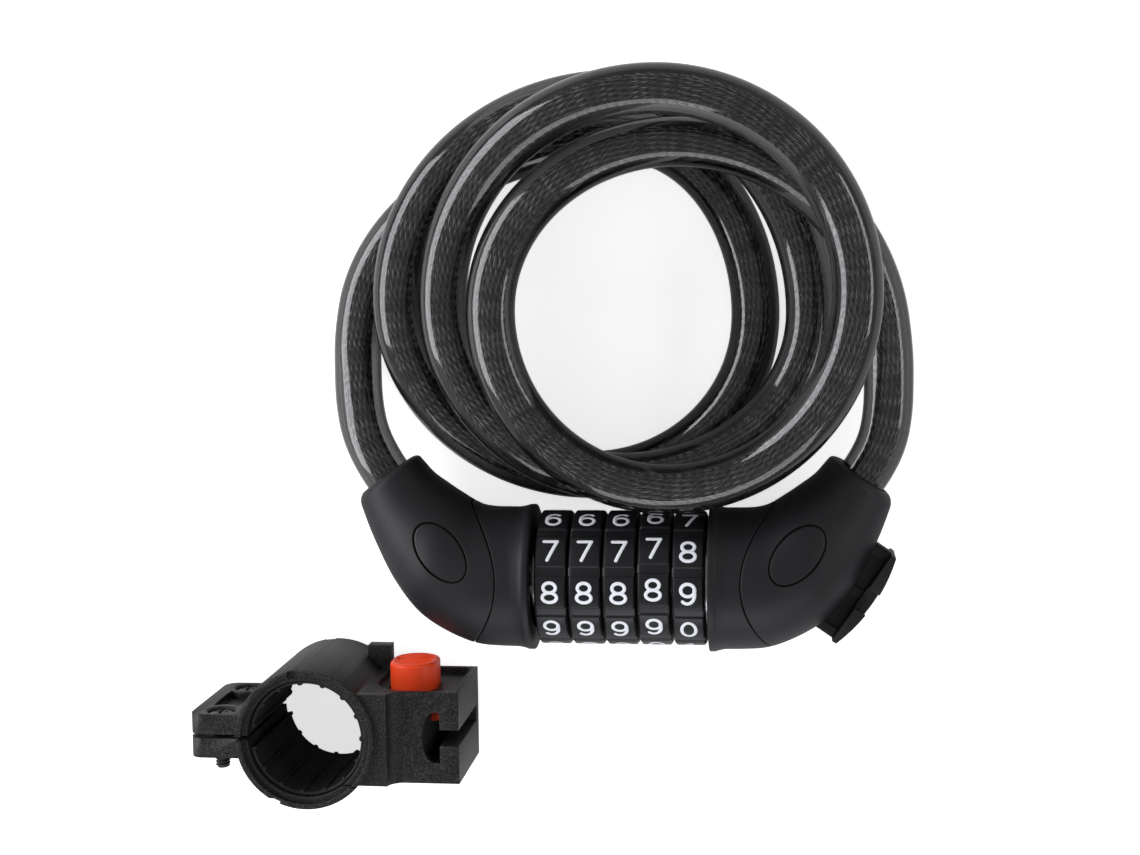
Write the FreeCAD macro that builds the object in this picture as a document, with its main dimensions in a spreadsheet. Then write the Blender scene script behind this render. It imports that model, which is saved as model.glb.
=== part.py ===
import FreeCAD, Part
import Sketcher
import math
import os
import re
from FreeCAD import Placement, Rotation, Vector

# Coiled cable lock with five code dials, and its two-piece bar bracket.
# Millimetres. +X runs along the dial axis, +Y towards the coil, +Z up from the table.
# The origin lies on the table, under the middle of the dial stack.

doc = FreeCAD.newDocument("CableLock")
sheet = doc.addObject("Spreadsheet::Sheet", "Sizes")

SIZES = [
    ("dial_radius", 16.65, "number wheels, outside"),
    ("dial_width", 7.8, "one wheel along the axis"),
    ("dial_gap", 0.6, "between two wheels"),
    ("dial_edge", 0.6, "chamfer on a wheel's rims"),
    ("grip_depth", 0.4, "grip grooves between the digits"),
    ("grip_radius", 2.4, "round bottom of a grip groove"),
    ("dial_turn", 3.5, "digit nearest the top from straight up, degrees towards -Y"),
    ("dial_slack", 3.2, "the fourth wheel stands this far back from the others, degrees"),
    ("ring_radius", 8.4, "cam ring, outside"),
    ("ring_width", 5.2, "cam ring along the axis"),
    ("ring_key", 0.9, "radius of the round key between ring and wheel"),
    ("fit_clearance", 0.06, "running fits of ring, barrel and pin"),
    ("barrel_radius", 5.2, "slotted tube that carries the dials"),
    ("pin_radius", 3.3, "locking pin"),
    ("lug_reach", 6.9, "lug tip from the axis"),
    ("lug_width", 2.4, "lug across the axis"),
    ("lug_length", 2.2, "lug along the axis"),
    ("lug_clearance", 0.35, "lug in its keyway and notch, each side"),
    ("pin_tip", 0.5, "pin past its last lug"),
    ("keyway_end", 1.5, "barrel's slot past the pin"),
    ("end_ring_play", 0.3, "end ring to the dial stack"),
    ("stack_play", 0.1, "dial stack, thrust washer and disc spring, between two of them"),
    ("cut_over", 1.0, "how far a cutting form starts outside what it cuts"),
    ("left_gap", 1.5, "dial stack to the left collar"),
    ("right_gap", 0.7, "dial stack to the right collar"),
    ("collar_radius", 17.5, "collars, outside"),
    ("flange_radius", 18.2, "raised rim of a collar, which touches the table"),
    ("flange_width", 1.6, "raised rim along the axis"),
    ("collar_wall", 2.6, "collar wall"),
    ("web", 3.0, "inner wall of a collar beside the dials"),
    ("web_bore", 12.7, "hole in that wall, for washer and ring"),
    ("seam_gap", 0.3, "collar to elbow, along the axis"),
    ("seam_top", 14.3, "seam from the collar face, at the top"),
    ("seam_middle", 10.65, "seam from the collar face, at mid height"),
    ("seam_bottom", 16.35, "seam from the collar face, at the bottom"),
    ("piece_clearance", 0.15, "between pieces that are assembled by hand"),
    ("head_radius", 9.0, "round heads of pin and barrel"),
    ("head_width", 2.0, "those heads along the axis"),
    ("head_along", 8.0, "those heads from the web"),
    ("barrel_overhang", 1.2, "barrel past its end ring"),
    ("end_ring_width", 1.2, "end ring along the axis"),
    ("end_ring_radius", 9.0, "end ring, outside"),
    ("washer_radius", 12.3, "thrust washer and disc spring, outside"),
    ("washer_bore", 7.5, "their bore"),
    ("washer_width", 1.0, "thrust washer along the axis"),
    ("spring_sheet", 0.6, "disc spring's sheet"),
    ("spring_seat", 1.2, "disc spring's inner rim outside the washer's bore"),
    ("elbow_wall", 2.4, "elbow shell wall"),
    ("form_lap", 3.0, "elbow form from its start to the middle of the seam"),
    ("spigot_lap", 1.5, "spigot past the seam's lowest point"),
    ("tight_clearance", 0.05, "between pieces of one end that never move"),
    ("head_room", 1.0, "room behind the round heads' seats"),
    ("neck_tilt", 4.0, "loft section 1, degrees"),
    ("shoulder_tilt", 15.0, "loft section 2, degrees"),
    ("hip_tilt", 26.0, "loft section 3, degrees"),
    ("throat_tilt", 36.0, "loft section 4, degrees"),
    ("mouth_tilt", 54.0, "loft section 5, degrees"),
    ("neck_along", 15.2, "loft section 1 from the collar face"),
    ("neck_rise", 1.0, "and above the axis"),
    ("neck_radius", 17.2, "and its radius"),
    ("shoulder_along", 23.5, "loft section 2"),
    ("shoulder_rise", 5.5, "loft section 2"),
    ("shoulder_radius", 16.8, "loft section 2"),
    ("hip_along", 28.8, "loft section 3"),
    ("hip_rise", 10.9, "loft section 3"),
    ("hip_radius", 14.3, "loft section 3"),
    ("throat_along", 33.2, "loft section 4"),
    ("throat_rise", 17.2, "loft section 4"),
    ("throat_radius", 11.75, "loft section 4"),
    ("mouth_along", 37.5, "loft section 5, where the cable leaves"),
    ("mouth_rise", 25.7, "loft section 5"),
    ("mouth_radius", 9.1, "loft section 5"),
    ("cable_radius", 6.0, "plastic sleeve of the cable"),
    ("rope_radius", 2.6, "steel rope inside it"),
    ("socket_clearance", 0.2, "cable in its socket"),
    ("socket_depth", 9.0, "cable inside the elbow's mouth"),
    ("cable_lead", 3.0, "straight cable in front of the mouth"),
    ("ferrule_radius", 4.4, "crimped end sleeve"),
    ("ferrule_length", 8.0, "crimped end sleeve"),
    ("ferrule_gap", 0.2, "crimped end sleeve to the cable's plastic"),
    ("rope_inset", 0.3, "rope's end inside the crimped sleeve"),
    ("badge_long", 16.3, "oval badge"),
    ("badge_short", 9.6, "oval badge"),
    ("badge_along", 21.8, "badge from the collar face"),
    ("badge_rise", 6.7, "badge above the axis"),
    ("badge_turn", 47.5, "badge's long axis, degrees"),
    ("badge_depth", 1.1, "badge thickness"),
    ("badge_groove", 0.45, "groove round the badge"),
    ("screw_radius", 1.25, "elbow screws"),
    ("screw_head_radius", 2.6, "elbow screw heads"),
    ("screw_head_width", 1.8, "elbow screw heads"),
    ("boss_radius", 3.2, "screw bosses"),
    ("screw_reach", 6.5, "screw ends, each side of the split"),
    ("neck_screw_along", 18.2, "lower elbow screw from the collar face"),
    ("neck_screw_rise", -8.6, "and from the axis"),
    ("hip_screw_along", 29.4, "upper elbow screw from the collar face"),
    ("hip_screw_rise", 2.0, "and from the axis"),
    ("tongue_length", 25.7, "bracket tongue"),
    ("tongue_stem", 5.0, "tongue from elbow to flange"),
    ("tongue_stem_width", 3.4, "stem in the bracket's mouth"),
    ("tongue_flange", 3.3, "flange thickness"),
    ("tongue_flange_width", 12.0, "flange across"),
    ("tongue_along", 32.95, "middle of the tongue's base from the collar face"),
    ("tongue_drop", 0.85, "and below the axis"),
    ("tongue_turn", 34.3, "outward direction below the axis, degrees"),
    ("tongue_root", 1.4, "root plate inside the shell"),
    ("latch_notch", 6.0, "notch for the bracket's catch"),
    ("latch_notch_depth", 3.0, "that notch"),
    ("panel_depth", 0.8, "sunk panels in the stem"),
    ("panel_end", 2.5, "sunk panels from the tongue's ends"),
    ("panel_rib", 2.4, "rib between the two panels"),
    ("panel_foot", 0.8, "sunk panels from the elbow"),
    ("tongue_bed", 9.0, "depth of the tongue's slit in the shells"),
    ("tongue_play", 0.1, "tongue in that slit, each side"),
    ("bracket_x", -78.0, "bracket bore"),
    ("bracket_y", -38.0, "bracket bore"),
    ("clamp_radius", 17.5, "clamp ring, outside"),
    ("clamp_bore", 14.75, "clamp ring, inside"),
    ("clamp_length", 38.0, "clamp ring along its bore"),
    ("split_gap", 1.0, "between the two halves at the ears"),
    ("ear_reach", 30.0, "ears from the bore's axis"),
    ("ear_thick", 5.0, "one ear"),
    ("ear_inset", 2.0, "ears shorter than the ring, each end"),
    ("ear_lap", 0.5, "ears into the ring's bore line"),
    ("clamp_screw_reach", 23.0, "clamp screws from the bore's axis"),
    ("clamp_screw_spacing", 24.0, "clamp screws apart"),
    ("clamp_screw_radius", 1.9, "clamp screws"),
    ("clamp_head_radius", 3.05, "clamp screw heads"),
    ("clamp_head_width", 1.4, "clamp screw heads"),
    ("clamp_tip", 3.6, "screw tips past the lower ear"),
    ("nut_radius", 3.7, "hexagon nuts, corner"),
    ("nut_width", 2.6, "hexagon nuts"),
    ("recess_depth", 1.5, "recess between the screws"),
    ("recess_width", 7.0, "that recess across the ear"),
    ("liner_wall", 1.5, "liner in the clamp"),
    ("liner_slit", 5.0, "slit in the liner"),
    ("block_reach", 38.0, "slot block from the bore's axis"),
    ("block_half", 11.5, "half its height"),
    ("block_length", 29.0, "along the bore"),
    ("block_lap", 2.0, "block into the ring"),
    ("nub_width", 6.0, "stop nub beside the button, along the ear's direction"),
    ("nub_length", 4.0, "stop nub along the bore"),
    ("nub_back", 5.0, "stop nub's start before the bore's radius"),
    ("nub_drop", 0.5, "stop nub past the block's end"),
    ("lip", 4.8, "lips beside the slot's mouth"),
    ("slot_depth", 4.6, "slot behind the lips"),
    ("slot_width", 12.8, "slot across"),
    ("mouth_width", 4.1, "slot's mouth between the lips"),
    ("slot_floor", 3.0, "closed end of the slot"),
    ("button_reach", 24.4, "button from the bore's axis"),
    ("button_radius", 6.0, "rounded ends of the button"),
    ("button_straight", 3.5, "between those ends"),
    ("button_proud", 5.5, "button above the block"),
    ("button_sunk", 2.3, "button inside the block"),
    ("button_travel", 2.0, "how far it goes in"),
    ("button_clearance", 0.35, "round the button and its leg"),
    ("button_floor", 0.2, "under the pressed button"),
    ("leg_room", 1.5, "slot for the leg above and below its travel"),
    ("leg_width", 5.0, "button's leg along the slot"),
    ("leg_thick", 2.8, "button's leg"),
    ("leg_length", 8.0, "button's leg"),
    ("catch_reach", 1.6, "catch on the leg"),
    ("catch_height", 2.6, "catch on the leg"),
    ("button_spring_radius", 1.9, "coil radius of the button's spring"),
    ("button_spring_wire", 0.25, "wire radius of that spring"),
    ("button_spring_length", 6.6, "that spring at rest"),
    ("button_spring_back", 2.4, "that spring from the button's middle"),
    ("button_spring_room", 0.3, "round that spring"),
]
COUNTS = [("dial_count", 5), ("digit_count", 10), ("spring_turns", 6)]

for row, entry in enumerate(SIZES, start=1):
    alias, value, note = entry
    sheet.set(f"A{row}", alias)
    sheet.set(f"B{row}", str(value))
    sheet.set(f"C{row}", note)
    sheet.setAlias(f"B{row}", alias)
for row, entry in enumerate(COUNTS, start=len(SIZES) + 1):
    alias, value = entry
    sheet.set(f"A{row}", alias)
    sheet.set(f"B{row}", str(value))
    sheet.setAlias(f"B{row}", alias)
doc.recompute()

ALIASES = {entry[0] for entry in SIZES} | {entry[0] for entry in COUNTS}
SLACK_DIAL = 4
SHAFT = Rotation(Vector(0, 1, 0), 90)
STANDING = Rotation()
ACROSS = Rotation(Vector(1, 0, 0), -90)


def size(name):
    """The number in a named cell of the sheet."""
    return float(sheet.get(name))


def formula(text):
    """An expression for setExpression, with each size name pointed at the sheet."""
    return re.sub(r"[a-z_]+", lambda word: f"Sizes.{word[0]}" if word[0] in ALIASES else word[0], text)


def bind(item, **properties):
    for name, text in properties.items():
        item.setExpression(name, formula(text))
    return item


def put(item, place, rotation=STANDING):
    """Binds an object's position to three expressions and gives it a fixed rotation."""
    item.Placement = Placement(Vector(), rotation)
    for letter, text in zip("xyz", place):
        item.setExpression(f"Placement.Base.{letter}", formula(text))
    return item


def cylinder(name, radius, height, place, rotation=STANDING):
    item = doc.addObject("Part::Cylinder", name)
    return put(bind(item, Radius=radius, Height=height), place, rotation)


def box(name, sides, place):
    item = doc.addObject("Part::Box", name)
    return put(bind(item, Length=sides[0], Width=sides[1], Height=sides[2]), place)


def fuse(name, *items):
    item = doc.addObject("Part::MultiFuse", name)
    item.Shapes = list(items)
    return item


def cut(name, base, *tools):
    item = doc.addObject("Part::Cut", name)
    item.Base = base
    item.Tool = tools[0] if len(tools) == 1 else fuse(name + "Tools", *tools)
    return item


def solid_feature(name, shape):
    item = doc.addObject("Part::Feature", name)
    item.Shape = shape
    return item


pieces = []


def piece(node, item):
    """Names a finished sub-part after its node and keeps it for the checks and the files."""
    item.Label = node
    pieces.append(item)
    return item


# The dial stack is centred on the origin, at the height of the collars' rims.
AXIS = "flange_radius"
PITCH = "(dial_width + dial_gap)"
STACK = "(dial_count * (dial_width + dial_gap) - dial_gap)"
RIGHT_FACE = f"({STACK} / 2 + right_gap)"
LEFT_FACE = f"({STACK} / 2 + left_gap)"


def stack_length():
    return size("dial_count") * (size("dial_width") + size("dial_gap")) - size("dial_gap")


def face_distance(side):
    """Distance of a collar's face from the middle of the dials; side is +1 right, -1 left."""
    gap = size("right_gap") if side > 0 else size("left_gap")
    return stack_length() / 2 + gap


def sketch_distance(sketch, kind, index, start, name, text):
    """A named distance from the sketch's origin to a circle's middle, bound to an expression."""
    at = sketch.addConstraint(Sketcher.Constraint(kind, -1, 1, index, 3, start))
    sketch.renameConstraint(at, name)
    sketch.setExpression(f"Constraints.{name}", formula(text))


def sketch_circle(sketch, name, radius, reach=None, turn=None):
    """A circle on the sketch's origin, or at a reach from it, on the vertical axis or turned from it."""
    height = size("ring_radius") if reach else 0.0
    aside = height / 4 if turn else 0.0
    index = sketch.addGeometry(Part.Circle(Vector(aside, height, 0), Vector(0, 0, 1), 1.0))
    if reach is None:
        sketch.addConstraint(Sketcher.Constraint("Coincident", index, 3, -1, 1))
    elif turn is None:
        sketch.addConstraint(Sketcher.Constraint("PointOnObject", index, 3, -2))
        sketch_distance(sketch, "DistanceY", index, height, name + "_reach", reach)
    else:
        sketch_distance(sketch, "DistanceX", index, aside, name + "_aside", f"({reach}) * sin({turn})")
        sketch_distance(sketch, "DistanceY", index, height, name + "_up", f"({reach}) * cos({turn})")
    at = sketch.addConstraint(Sketcher.Constraint("Radius", index, 1.0))
    sketch.renameConstraint(at, name)
    sketch.setExpression(f"Constraints.{name}", formula(radius))


def new_sketch(body, name, role):
    plane = [item for item in body.Origin.OriginFeatures if item.Role == role][0]
    sketch = body.newObject("Sketcher::SketchObject", name)
    sketch.AttachmentSupport = [(plane, "")]
    sketch.MapMode = "FlatFace"
    return sketch


def make_dial(number):
    """A number wheel: a chamfered ring with a keyed bore and a grip groove between digits."""
    body = doc.addObject("PartDesign::Body", f"Dial{number}")
    profile = new_sketch(body, f"DialProfile{number}", "YZ_Plane")
    sketch_circle(profile, "rim", "dial_radius")
    sketch_circle(profile, "bore", "ring_radius + fit_clearance")
    ring = body.newObject("PartDesign::Pad", f"DialRing{number}")
    ring.Profile = profile
    bind(ring, Length="dial_width")
    doc.recompute()
    rims = []
    for index, edge in enumerate(ring.Shape.Edges, start=1):
        if edge.Closed and abs(edge.Curve.Radius - size("dial_radius")) < 0.001:
            rims.append(f"Edge{index}")
    bevel = body.newObject("PartDesign::Chamfer", f"DialBevel{number}")
    bevel.Base = (ring, rims)
    bind(bevel, Size="dial_edge")
    doc.recompute()
    keyway = new_sketch(body, f"DialKeySketch{number}", "YZ_Plane")
    sketch_circle(keyway, "key", "ring_key + fit_clearance", "ring_radius")
    key_cut = body.newObject("PartDesign::Pocket", f"DialKeyway{number}")
    key_cut.Profile = keyway
    key_cut.Type = "ThroughAll"
    key_cut.Reversed = True
    grip = new_sketch(body, f"DialGripSketch{number}", "YZ_Plane")
    turn = "180 / digit_count - dial_turn" + (" + dial_slack" if number == SLACK_DIAL else "")
    sketch_circle(grip, "groove", "grip_radius", "dial_radius + grip_radius - grip_depth", turn)
    groove = body.newObject("PartDesign::Pocket", f"DialGroove{number}")
    groove.Profile = grip
    groove.Type = "ThroughAll"
    groove.Reversed = True
    doc.recompute()
    if not groove.Shape.Volume < key_cut.Shape.Volume < bevel.Shape.Volume:
        raise RuntimeError("a dial's pocket cuts nothing")
    grips = body.newObject("PartDesign::PolarPattern", f"DialGrips{number}")
    grips.Originals = [groove]
    grips.Axis = (grip, ["N_Axis"])
    grips.Angle = 360
    bind(grips, Occurrences="digit_count")
    body.Tip = grips
    start = f"(({number} - 1) * {PITCH} - {STACK} / 2)"
    put(body, (start, "0", AXIS))
    return piece(f"dial_{number}", body)


def make_cam_ring(number):
    """The ring inside a dial: its notch lets the lug pass at the right digit only."""
    middle = f"(({number} - 1) * {PITCH} - {STACK} / 2 + dial_width / 2)"
    start = f"({middle} - ring_width / 2)"
    disc = cylinder(f"CamDisc{number}", "ring_radius", "ring_width", (start, "0", AXIS), SHAFT)
    key_place = (start, "0", f"{AXIS} + ring_radius")
    key = cylinder(f"CamKey{number}", "ring_key", "ring_width", key_place, SHAFT)
    bore = cylinder(f"CamBore{number}", "barrel_radius + fit_clearance", "ring_width + 2 * cut_over",
                    (f"{start} - cut_over", "0", AXIS), SHAFT)
    width = "(lug_width + 2 * lug_clearance)"
    notch = box(f"CamNotch{number}", ("ring_width + 2 * cut_over", width, "lug_reach + lug_clearance"),
                (f"{start} - cut_over", f"-{width} / 2", AXIS))
    blank = fuse(f"CamBlank{number}", disc, key)
    return piece(f"cam_ring_{number}", cut(f"CamRing{number}", blank, bore, notch))


for dial_number in range(1, int(size("dial_count")) + 1):
    make_dial(dial_number)
    make_cam_ring(dial_number)


# Locking pin on the left half, slotted barrel on the right half.
PIN_HEAD = f"({LEFT_FACE} + web + head_along)"
BARREL_HEAD = f"({RIGHT_FACE} + web + head_along)"
LAST_LUG = f"({STACK} / 2 + dial_gap / 2)"
PIN_TIP = f"({LAST_LUG} + lug_length / 2 + pin_tip)"
END_RING = f"({STACK} / 2 + end_ring_play)"
BARREL_END = f"({END_RING} + end_ring_width + barrel_overhang)"
KEYWAY = "(lug_width + 2 * lug_clearance)"

pin_shaft = cylinder("PinShaft", "pin_radius", f"{PIN_HEAD} + {PIN_TIP}", (f"-{PIN_HEAD}", "0", AXIS), SHAFT)
pin_head = cylinder("PinHead", "head_radius", "head_width", (f"-{PIN_HEAD} - head_width", "0", AXIS), SHAFT)
lugs = []
for lug_number in range(1, int(size("dial_count")) + 1):
    lug_middle = f"({lug_number} * {PITCH} - {STACK} / 2 - dial_gap / 2)"
    lugs.append(box(f"Lug{lug_number}", ("lug_length", "lug_width", "lug_reach"),
                    (f"{lug_middle} - lug_length / 2", "-lug_width / 2", AXIS)))
piece("lock_pin", fuse("LockPin", pin_shaft, pin_head, *lugs))

barrel_tube = cylinder("BarrelTube", "barrel_radius", f"{BARREL_END} + {BARREL_HEAD}",
                       (f"-{BARREL_END}", "0", AXIS), SHAFT)
barrel_head = cylinder("BarrelHead", "head_radius", "head_width", (BARREL_HEAD, "0", AXIS), SHAFT)
barrel_bore = cylinder("BarrelBore", "pin_radius + fit_clearance", f"{BARREL_END} + {BARREL_HEAD}",
                       (f"-{BARREL_END} - cut_over", "0", AXIS), SHAFT)
barrel_slot = box("BarrelSlot", (f"{BARREL_END} + {PIN_TIP} + keyway_end", KEYWAY, "head_radius"),
                  (f"-{BARREL_END} - cut_over", f"-{KEYWAY} / 2", AXIS))
barrel_blank = fuse("BarrelBlank", barrel_tube, barrel_head)
piece("code_barrel", cut("CodeBarrel", barrel_blank, barrel_bore, barrel_slot))

ring_disc = cylinder("EndRingDisc", "end_ring_radius", "end_ring_width",
                     (f"-{END_RING} - end_ring_width", "0", AXIS), SHAFT)
ring_bore = cylinder("EndRingBore", "barrel_radius + fit_clearance", "end_ring_width + 2 * cut_over",
                     (f"-{END_RING} - end_ring_width - cut_over", "0", AXIS), SHAFT)
ring_slot = box("EndRingSlot", ("end_ring_width + 2 * cut_over", KEYWAY, "lug_reach + lug_clearance"),
                (f"-{END_RING} - end_ring_width - cut_over", f"-{KEYWAY} / 2", AXIS))
piece("barrel_end_ring", cut("BarrelEndRing", ring_disc, ring_bore, ring_slot))

WASHER = f"({STACK} / 2 + stack_play)"
SPRING = f"({WASHER} + washer_width + stack_play)"
SPRING_ROOM = f"({RIGHT_FACE} + web - {SPRING} - stack_play)"
washer_disc = cylinder("WasherDisc", "washer_radius", "washer_width", (WASHER, "0", AXIS), SHAFT)
washer_hole = cylinder("WasherHole", "washer_bore", "washer_width + 2 * cut_over",
                       (f"{WASHER} - cut_over", "0", AXIS), SHAFT)
piece("thrust_washer", cut("ThrustWasher", washer_disc, washer_hole))


def spring_cone(name, radius_start, radius_end):
    cone = doc.addObject("Part::Cone", name)
    bind(cone, Radius1=radius_start, Radius2=radius_end, Height=SPRING_ROOM)
    return put(cone, (SPRING, "0", AXIS), SHAFT)


outer_cone = spring_cone("SpringOutside", "washer_bore + spring_seat + spring_sheet", "washer_radius")
inner_cone = spring_cone("SpringInside", "washer_bore + spring_seat / 2", "washer_radius - 2 * spring_sheet")
piece("friction_spring", cut("FrictionSpring", outer_cone, inner_cone))


# The two ends are one form, made on the right and mirrored for the left.
SECTIONS = ["neck", "shoulder", "hip", "throat", "mouth"]


def place_section(wire, face, name):
    """Tilts a section of the elbow loft, as the elbow turns up, and puts it in its place."""
    wire.rotate(Vector(), Vector(0, 0, 1), size(name + "_tilt"))
    wire.translate(Vector(face + size(name + "_along"), size(name + "_rise"), size(AXIS)))
    return wire


def round_wire(radius):
    ring = Part.Wire(Part.makeCircle(radius, Vector(), Vector(1, 0, 0)))
    ring.rotate(Vector(), Vector(1, 0, 0), -90)
    return ring


def half_wire(radius, front):
    """Half a round section, closed along the split between the front and back shells."""
    top = Vector(0, radius, 0)
    middle = Vector(0, 0, radius if front else -radius)
    bottom = Vector(0, -radius, 0)
    return Part.Wire([Part.Arc(top, middle, bottom).toShape(), Part.makeLine(bottom, top)])


def form_start():
    return size("seam_middle") - size("form_lap")


def shaft_solid(radius, start, end):
    return Part.makeCylinder(radius, end - start, Vector(start, 0, size(AXIS)), Vector(1, 0, 0))


def end_form(face, grow=0.0):
    """The outer form from the collar's face to the mouth; a negative grow gives its inside."""
    first = round_wire(size("collar_radius") + grow)
    first.translate(Vector(face + form_start(), 0, size(AXIS)))
    rest = [place_section(round_wire(size(name + "_radius") + grow), face, name) for name in SECTIONS]
    elbow = Part.makeLoft([first] + rest, True, False)
    return shaft_solid(size("collar_radius") + grow, face, face + form_start()).fuse(elbow).removeSplitter()


def half_form(face, front):
    """One shell's outer form, from inside the collar to the mouth."""
    first = half_wire(size("collar_radius"), front)
    first.translate(Vector(face + form_start(), 0, size(AXIS)))
    rest = [place_section(half_wire(size(name + "_radius"), front), face, name) for name in SECTIONS]
    return Part.makeLoft([first] + rest, True, False)


def half_cavity(face, front):
    wires = []
    for name in SECTIONS[:-1]:
        inner = half_wire(size(name + "_radius") - size("elbow_wall"), front)
        wires.append(place_section(inner, face, name))
    return Part.makeLoft(wires, True, False)


def half_space(front):
    """A large block on the front or the back of the split."""
    big = 4 * size("mouth_along")
    low = size(AXIS) if front else size(AXIS) - big
    return Part.makeBox(2 * big, 2 * big, big, Vector(-big, -big, low))


def dial_side(face, shift):
    """Everything on the dials' side of the curved seam, as a thick plate."""
    far = 3 * size("flange_radius")
    radius = size("collar_radius")
    top = Vector(face + size("seam_top") + shift, radius, -far)
    middle = Vector(face + size("seam_middle") + shift, 0, -far)
    bottom = Vector(face + size("seam_bottom") + shift, -radius, -far)
    curve = Part.Arc(top, middle, bottom).toShape()
    corners = [bottom, Vector(bottom.x, -far, -far), Vector(face - far, -far, -far),
               Vector(face - far, far, -far), Vector(top.x, far, -far), top]
    outline = Part.Wire([curve] + [Part.makeLine(a, b) for a, b in zip(corners, corners[1:])])
    return Part.Face(outline).extrude(Vector(0, 0, 3 * far))


def mouth_axis(face):
    turn = math.radians(size("mouth_tilt"))
    centre = Vector(face + size("mouth_along"), size("mouth_rise"), size(AXIS))
    return centre, Vector(math.cos(turn), math.sin(turn), 0)


def badge_prism(face, grow):
    """An upright oval post through the front of the elbow."""
    centre = Vector(face + size("badge_along"), size("badge_rise"), size(AXIS))
    oval = Part.Ellipse(Vector(), size("badge_long") / 2 + grow, size("badge_short") / 2 + grow)
    post = Part.Face(Part.Wire(oval.toShape())).extrude(Vector(0, 0, 2 * size("collar_radius")))
    post.rotate(Vector(), Vector(0, 0, 1), size("badge_turn"))
    post.translate(centre)
    return post


def screw_places(face):
    names = ("neck_screw", "hip_screw")
    return [Vector(face + size(name + "_along"), size(name + "_rise"), 0) for name in names]


def screw_at(place):
    """One screw along Z from the back, with its head below the split."""
    low = size(AXIS) - size("screw_reach")
    shaft = Part.makeCylinder(size("screw_radius"), 2 * size("screw_reach"), Vector(place.x, place.y, low))
    head_low = Vector(place.x, place.y, low - size("screw_head_width"))
    return shaft.fuse(Part.makeCylinder(size("screw_head_radius"), size("screw_head_width"), head_low))


def tongue_frame(face):
    """Centre of the tongue's base, its outward direction and its long direction."""
    turn = math.radians(size("tongue_turn"))
    centre = Vector(face + size("tongue_along"), -size("tongue_drop"), size(AXIS))
    return centre, Vector(math.cos(turn), -math.sin(turn), 0), Vector(math.sin(turn), math.cos(turn), 0)


def tongue_box(face, near, far, width, start=None, end=None, low=None):
    """A block of the tongue between two distances from its base, width across in Z."""
    centre, outward, along = tongue_frame(face)
    start = -size("tongue_length") / 2 if start is None else start
    end = size("tongue_length") / 2 if end is None else end
    low = -width / 2 if low is None else low
    corner = centre + outward * near + along * start + Vector(0, 0, low)
    sides = [corner, corner + outward * (far - near), corner + outward * (far - near) + along * (end - start),
             corner + along * (end - start), corner]
    return Part.Face(Part.makePolygon(sides)).extrude(Vector(0, 0, width))


def make_tongue(face):
    """The T-shaped tongue that slides into the bracket, with its root plate in the shell."""
    stem = size("tongue_stem")
    top = stem + size("tongue_flange")
    half = size("tongue_length") / 2
    rib = size("panel_rib") / 2
    panel_end = half - size("panel_end")
    over = size("tongue_play")
    shape = tongue_box(face, -size("tongue_root"), top, size("tongue_stem_width"))
    shape = shape.fuse(tongue_box(face, stem, top, size("tongue_flange_width")))
    for side in (-1, 1):
        level = side * size("tongue_stem_width") / 2
        low = level - size("panel_depth") if side > 0 else level
        for start, end in ((-panel_end, -rib), (rib, panel_end)):
            panel = tongue_box(face, size("panel_foot"), stem, size("panel_depth"), start, end, low)
            shape = shape.cut(panel)
    notch = size("latch_notch") / 2
    deep = size("latch_notch_depth")
    low = size("tongue_flange_width") / 2 - deep
    return shape.cut(tongue_box(face, stem - over, top + over, 2 * deep, -notch, notch, low))


def spigot_pocket(face, side):
    """Room in the spigot for the round head and for what passes through it."""
    loose = size("piece_clearance")
    head = face + size("web") + size("head_along")
    shaft = size("pin_radius") if side < 0 else size("barrel_radius")
    through = shaft_solid(shaft + loose, face, head + size("head_room"))
    room_start = head - size("tight_clearance")
    room_end = head + size("head_width") + loose
    return through.fuse(shaft_solid(size("head_radius") + loose, room_start, room_end))


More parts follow.
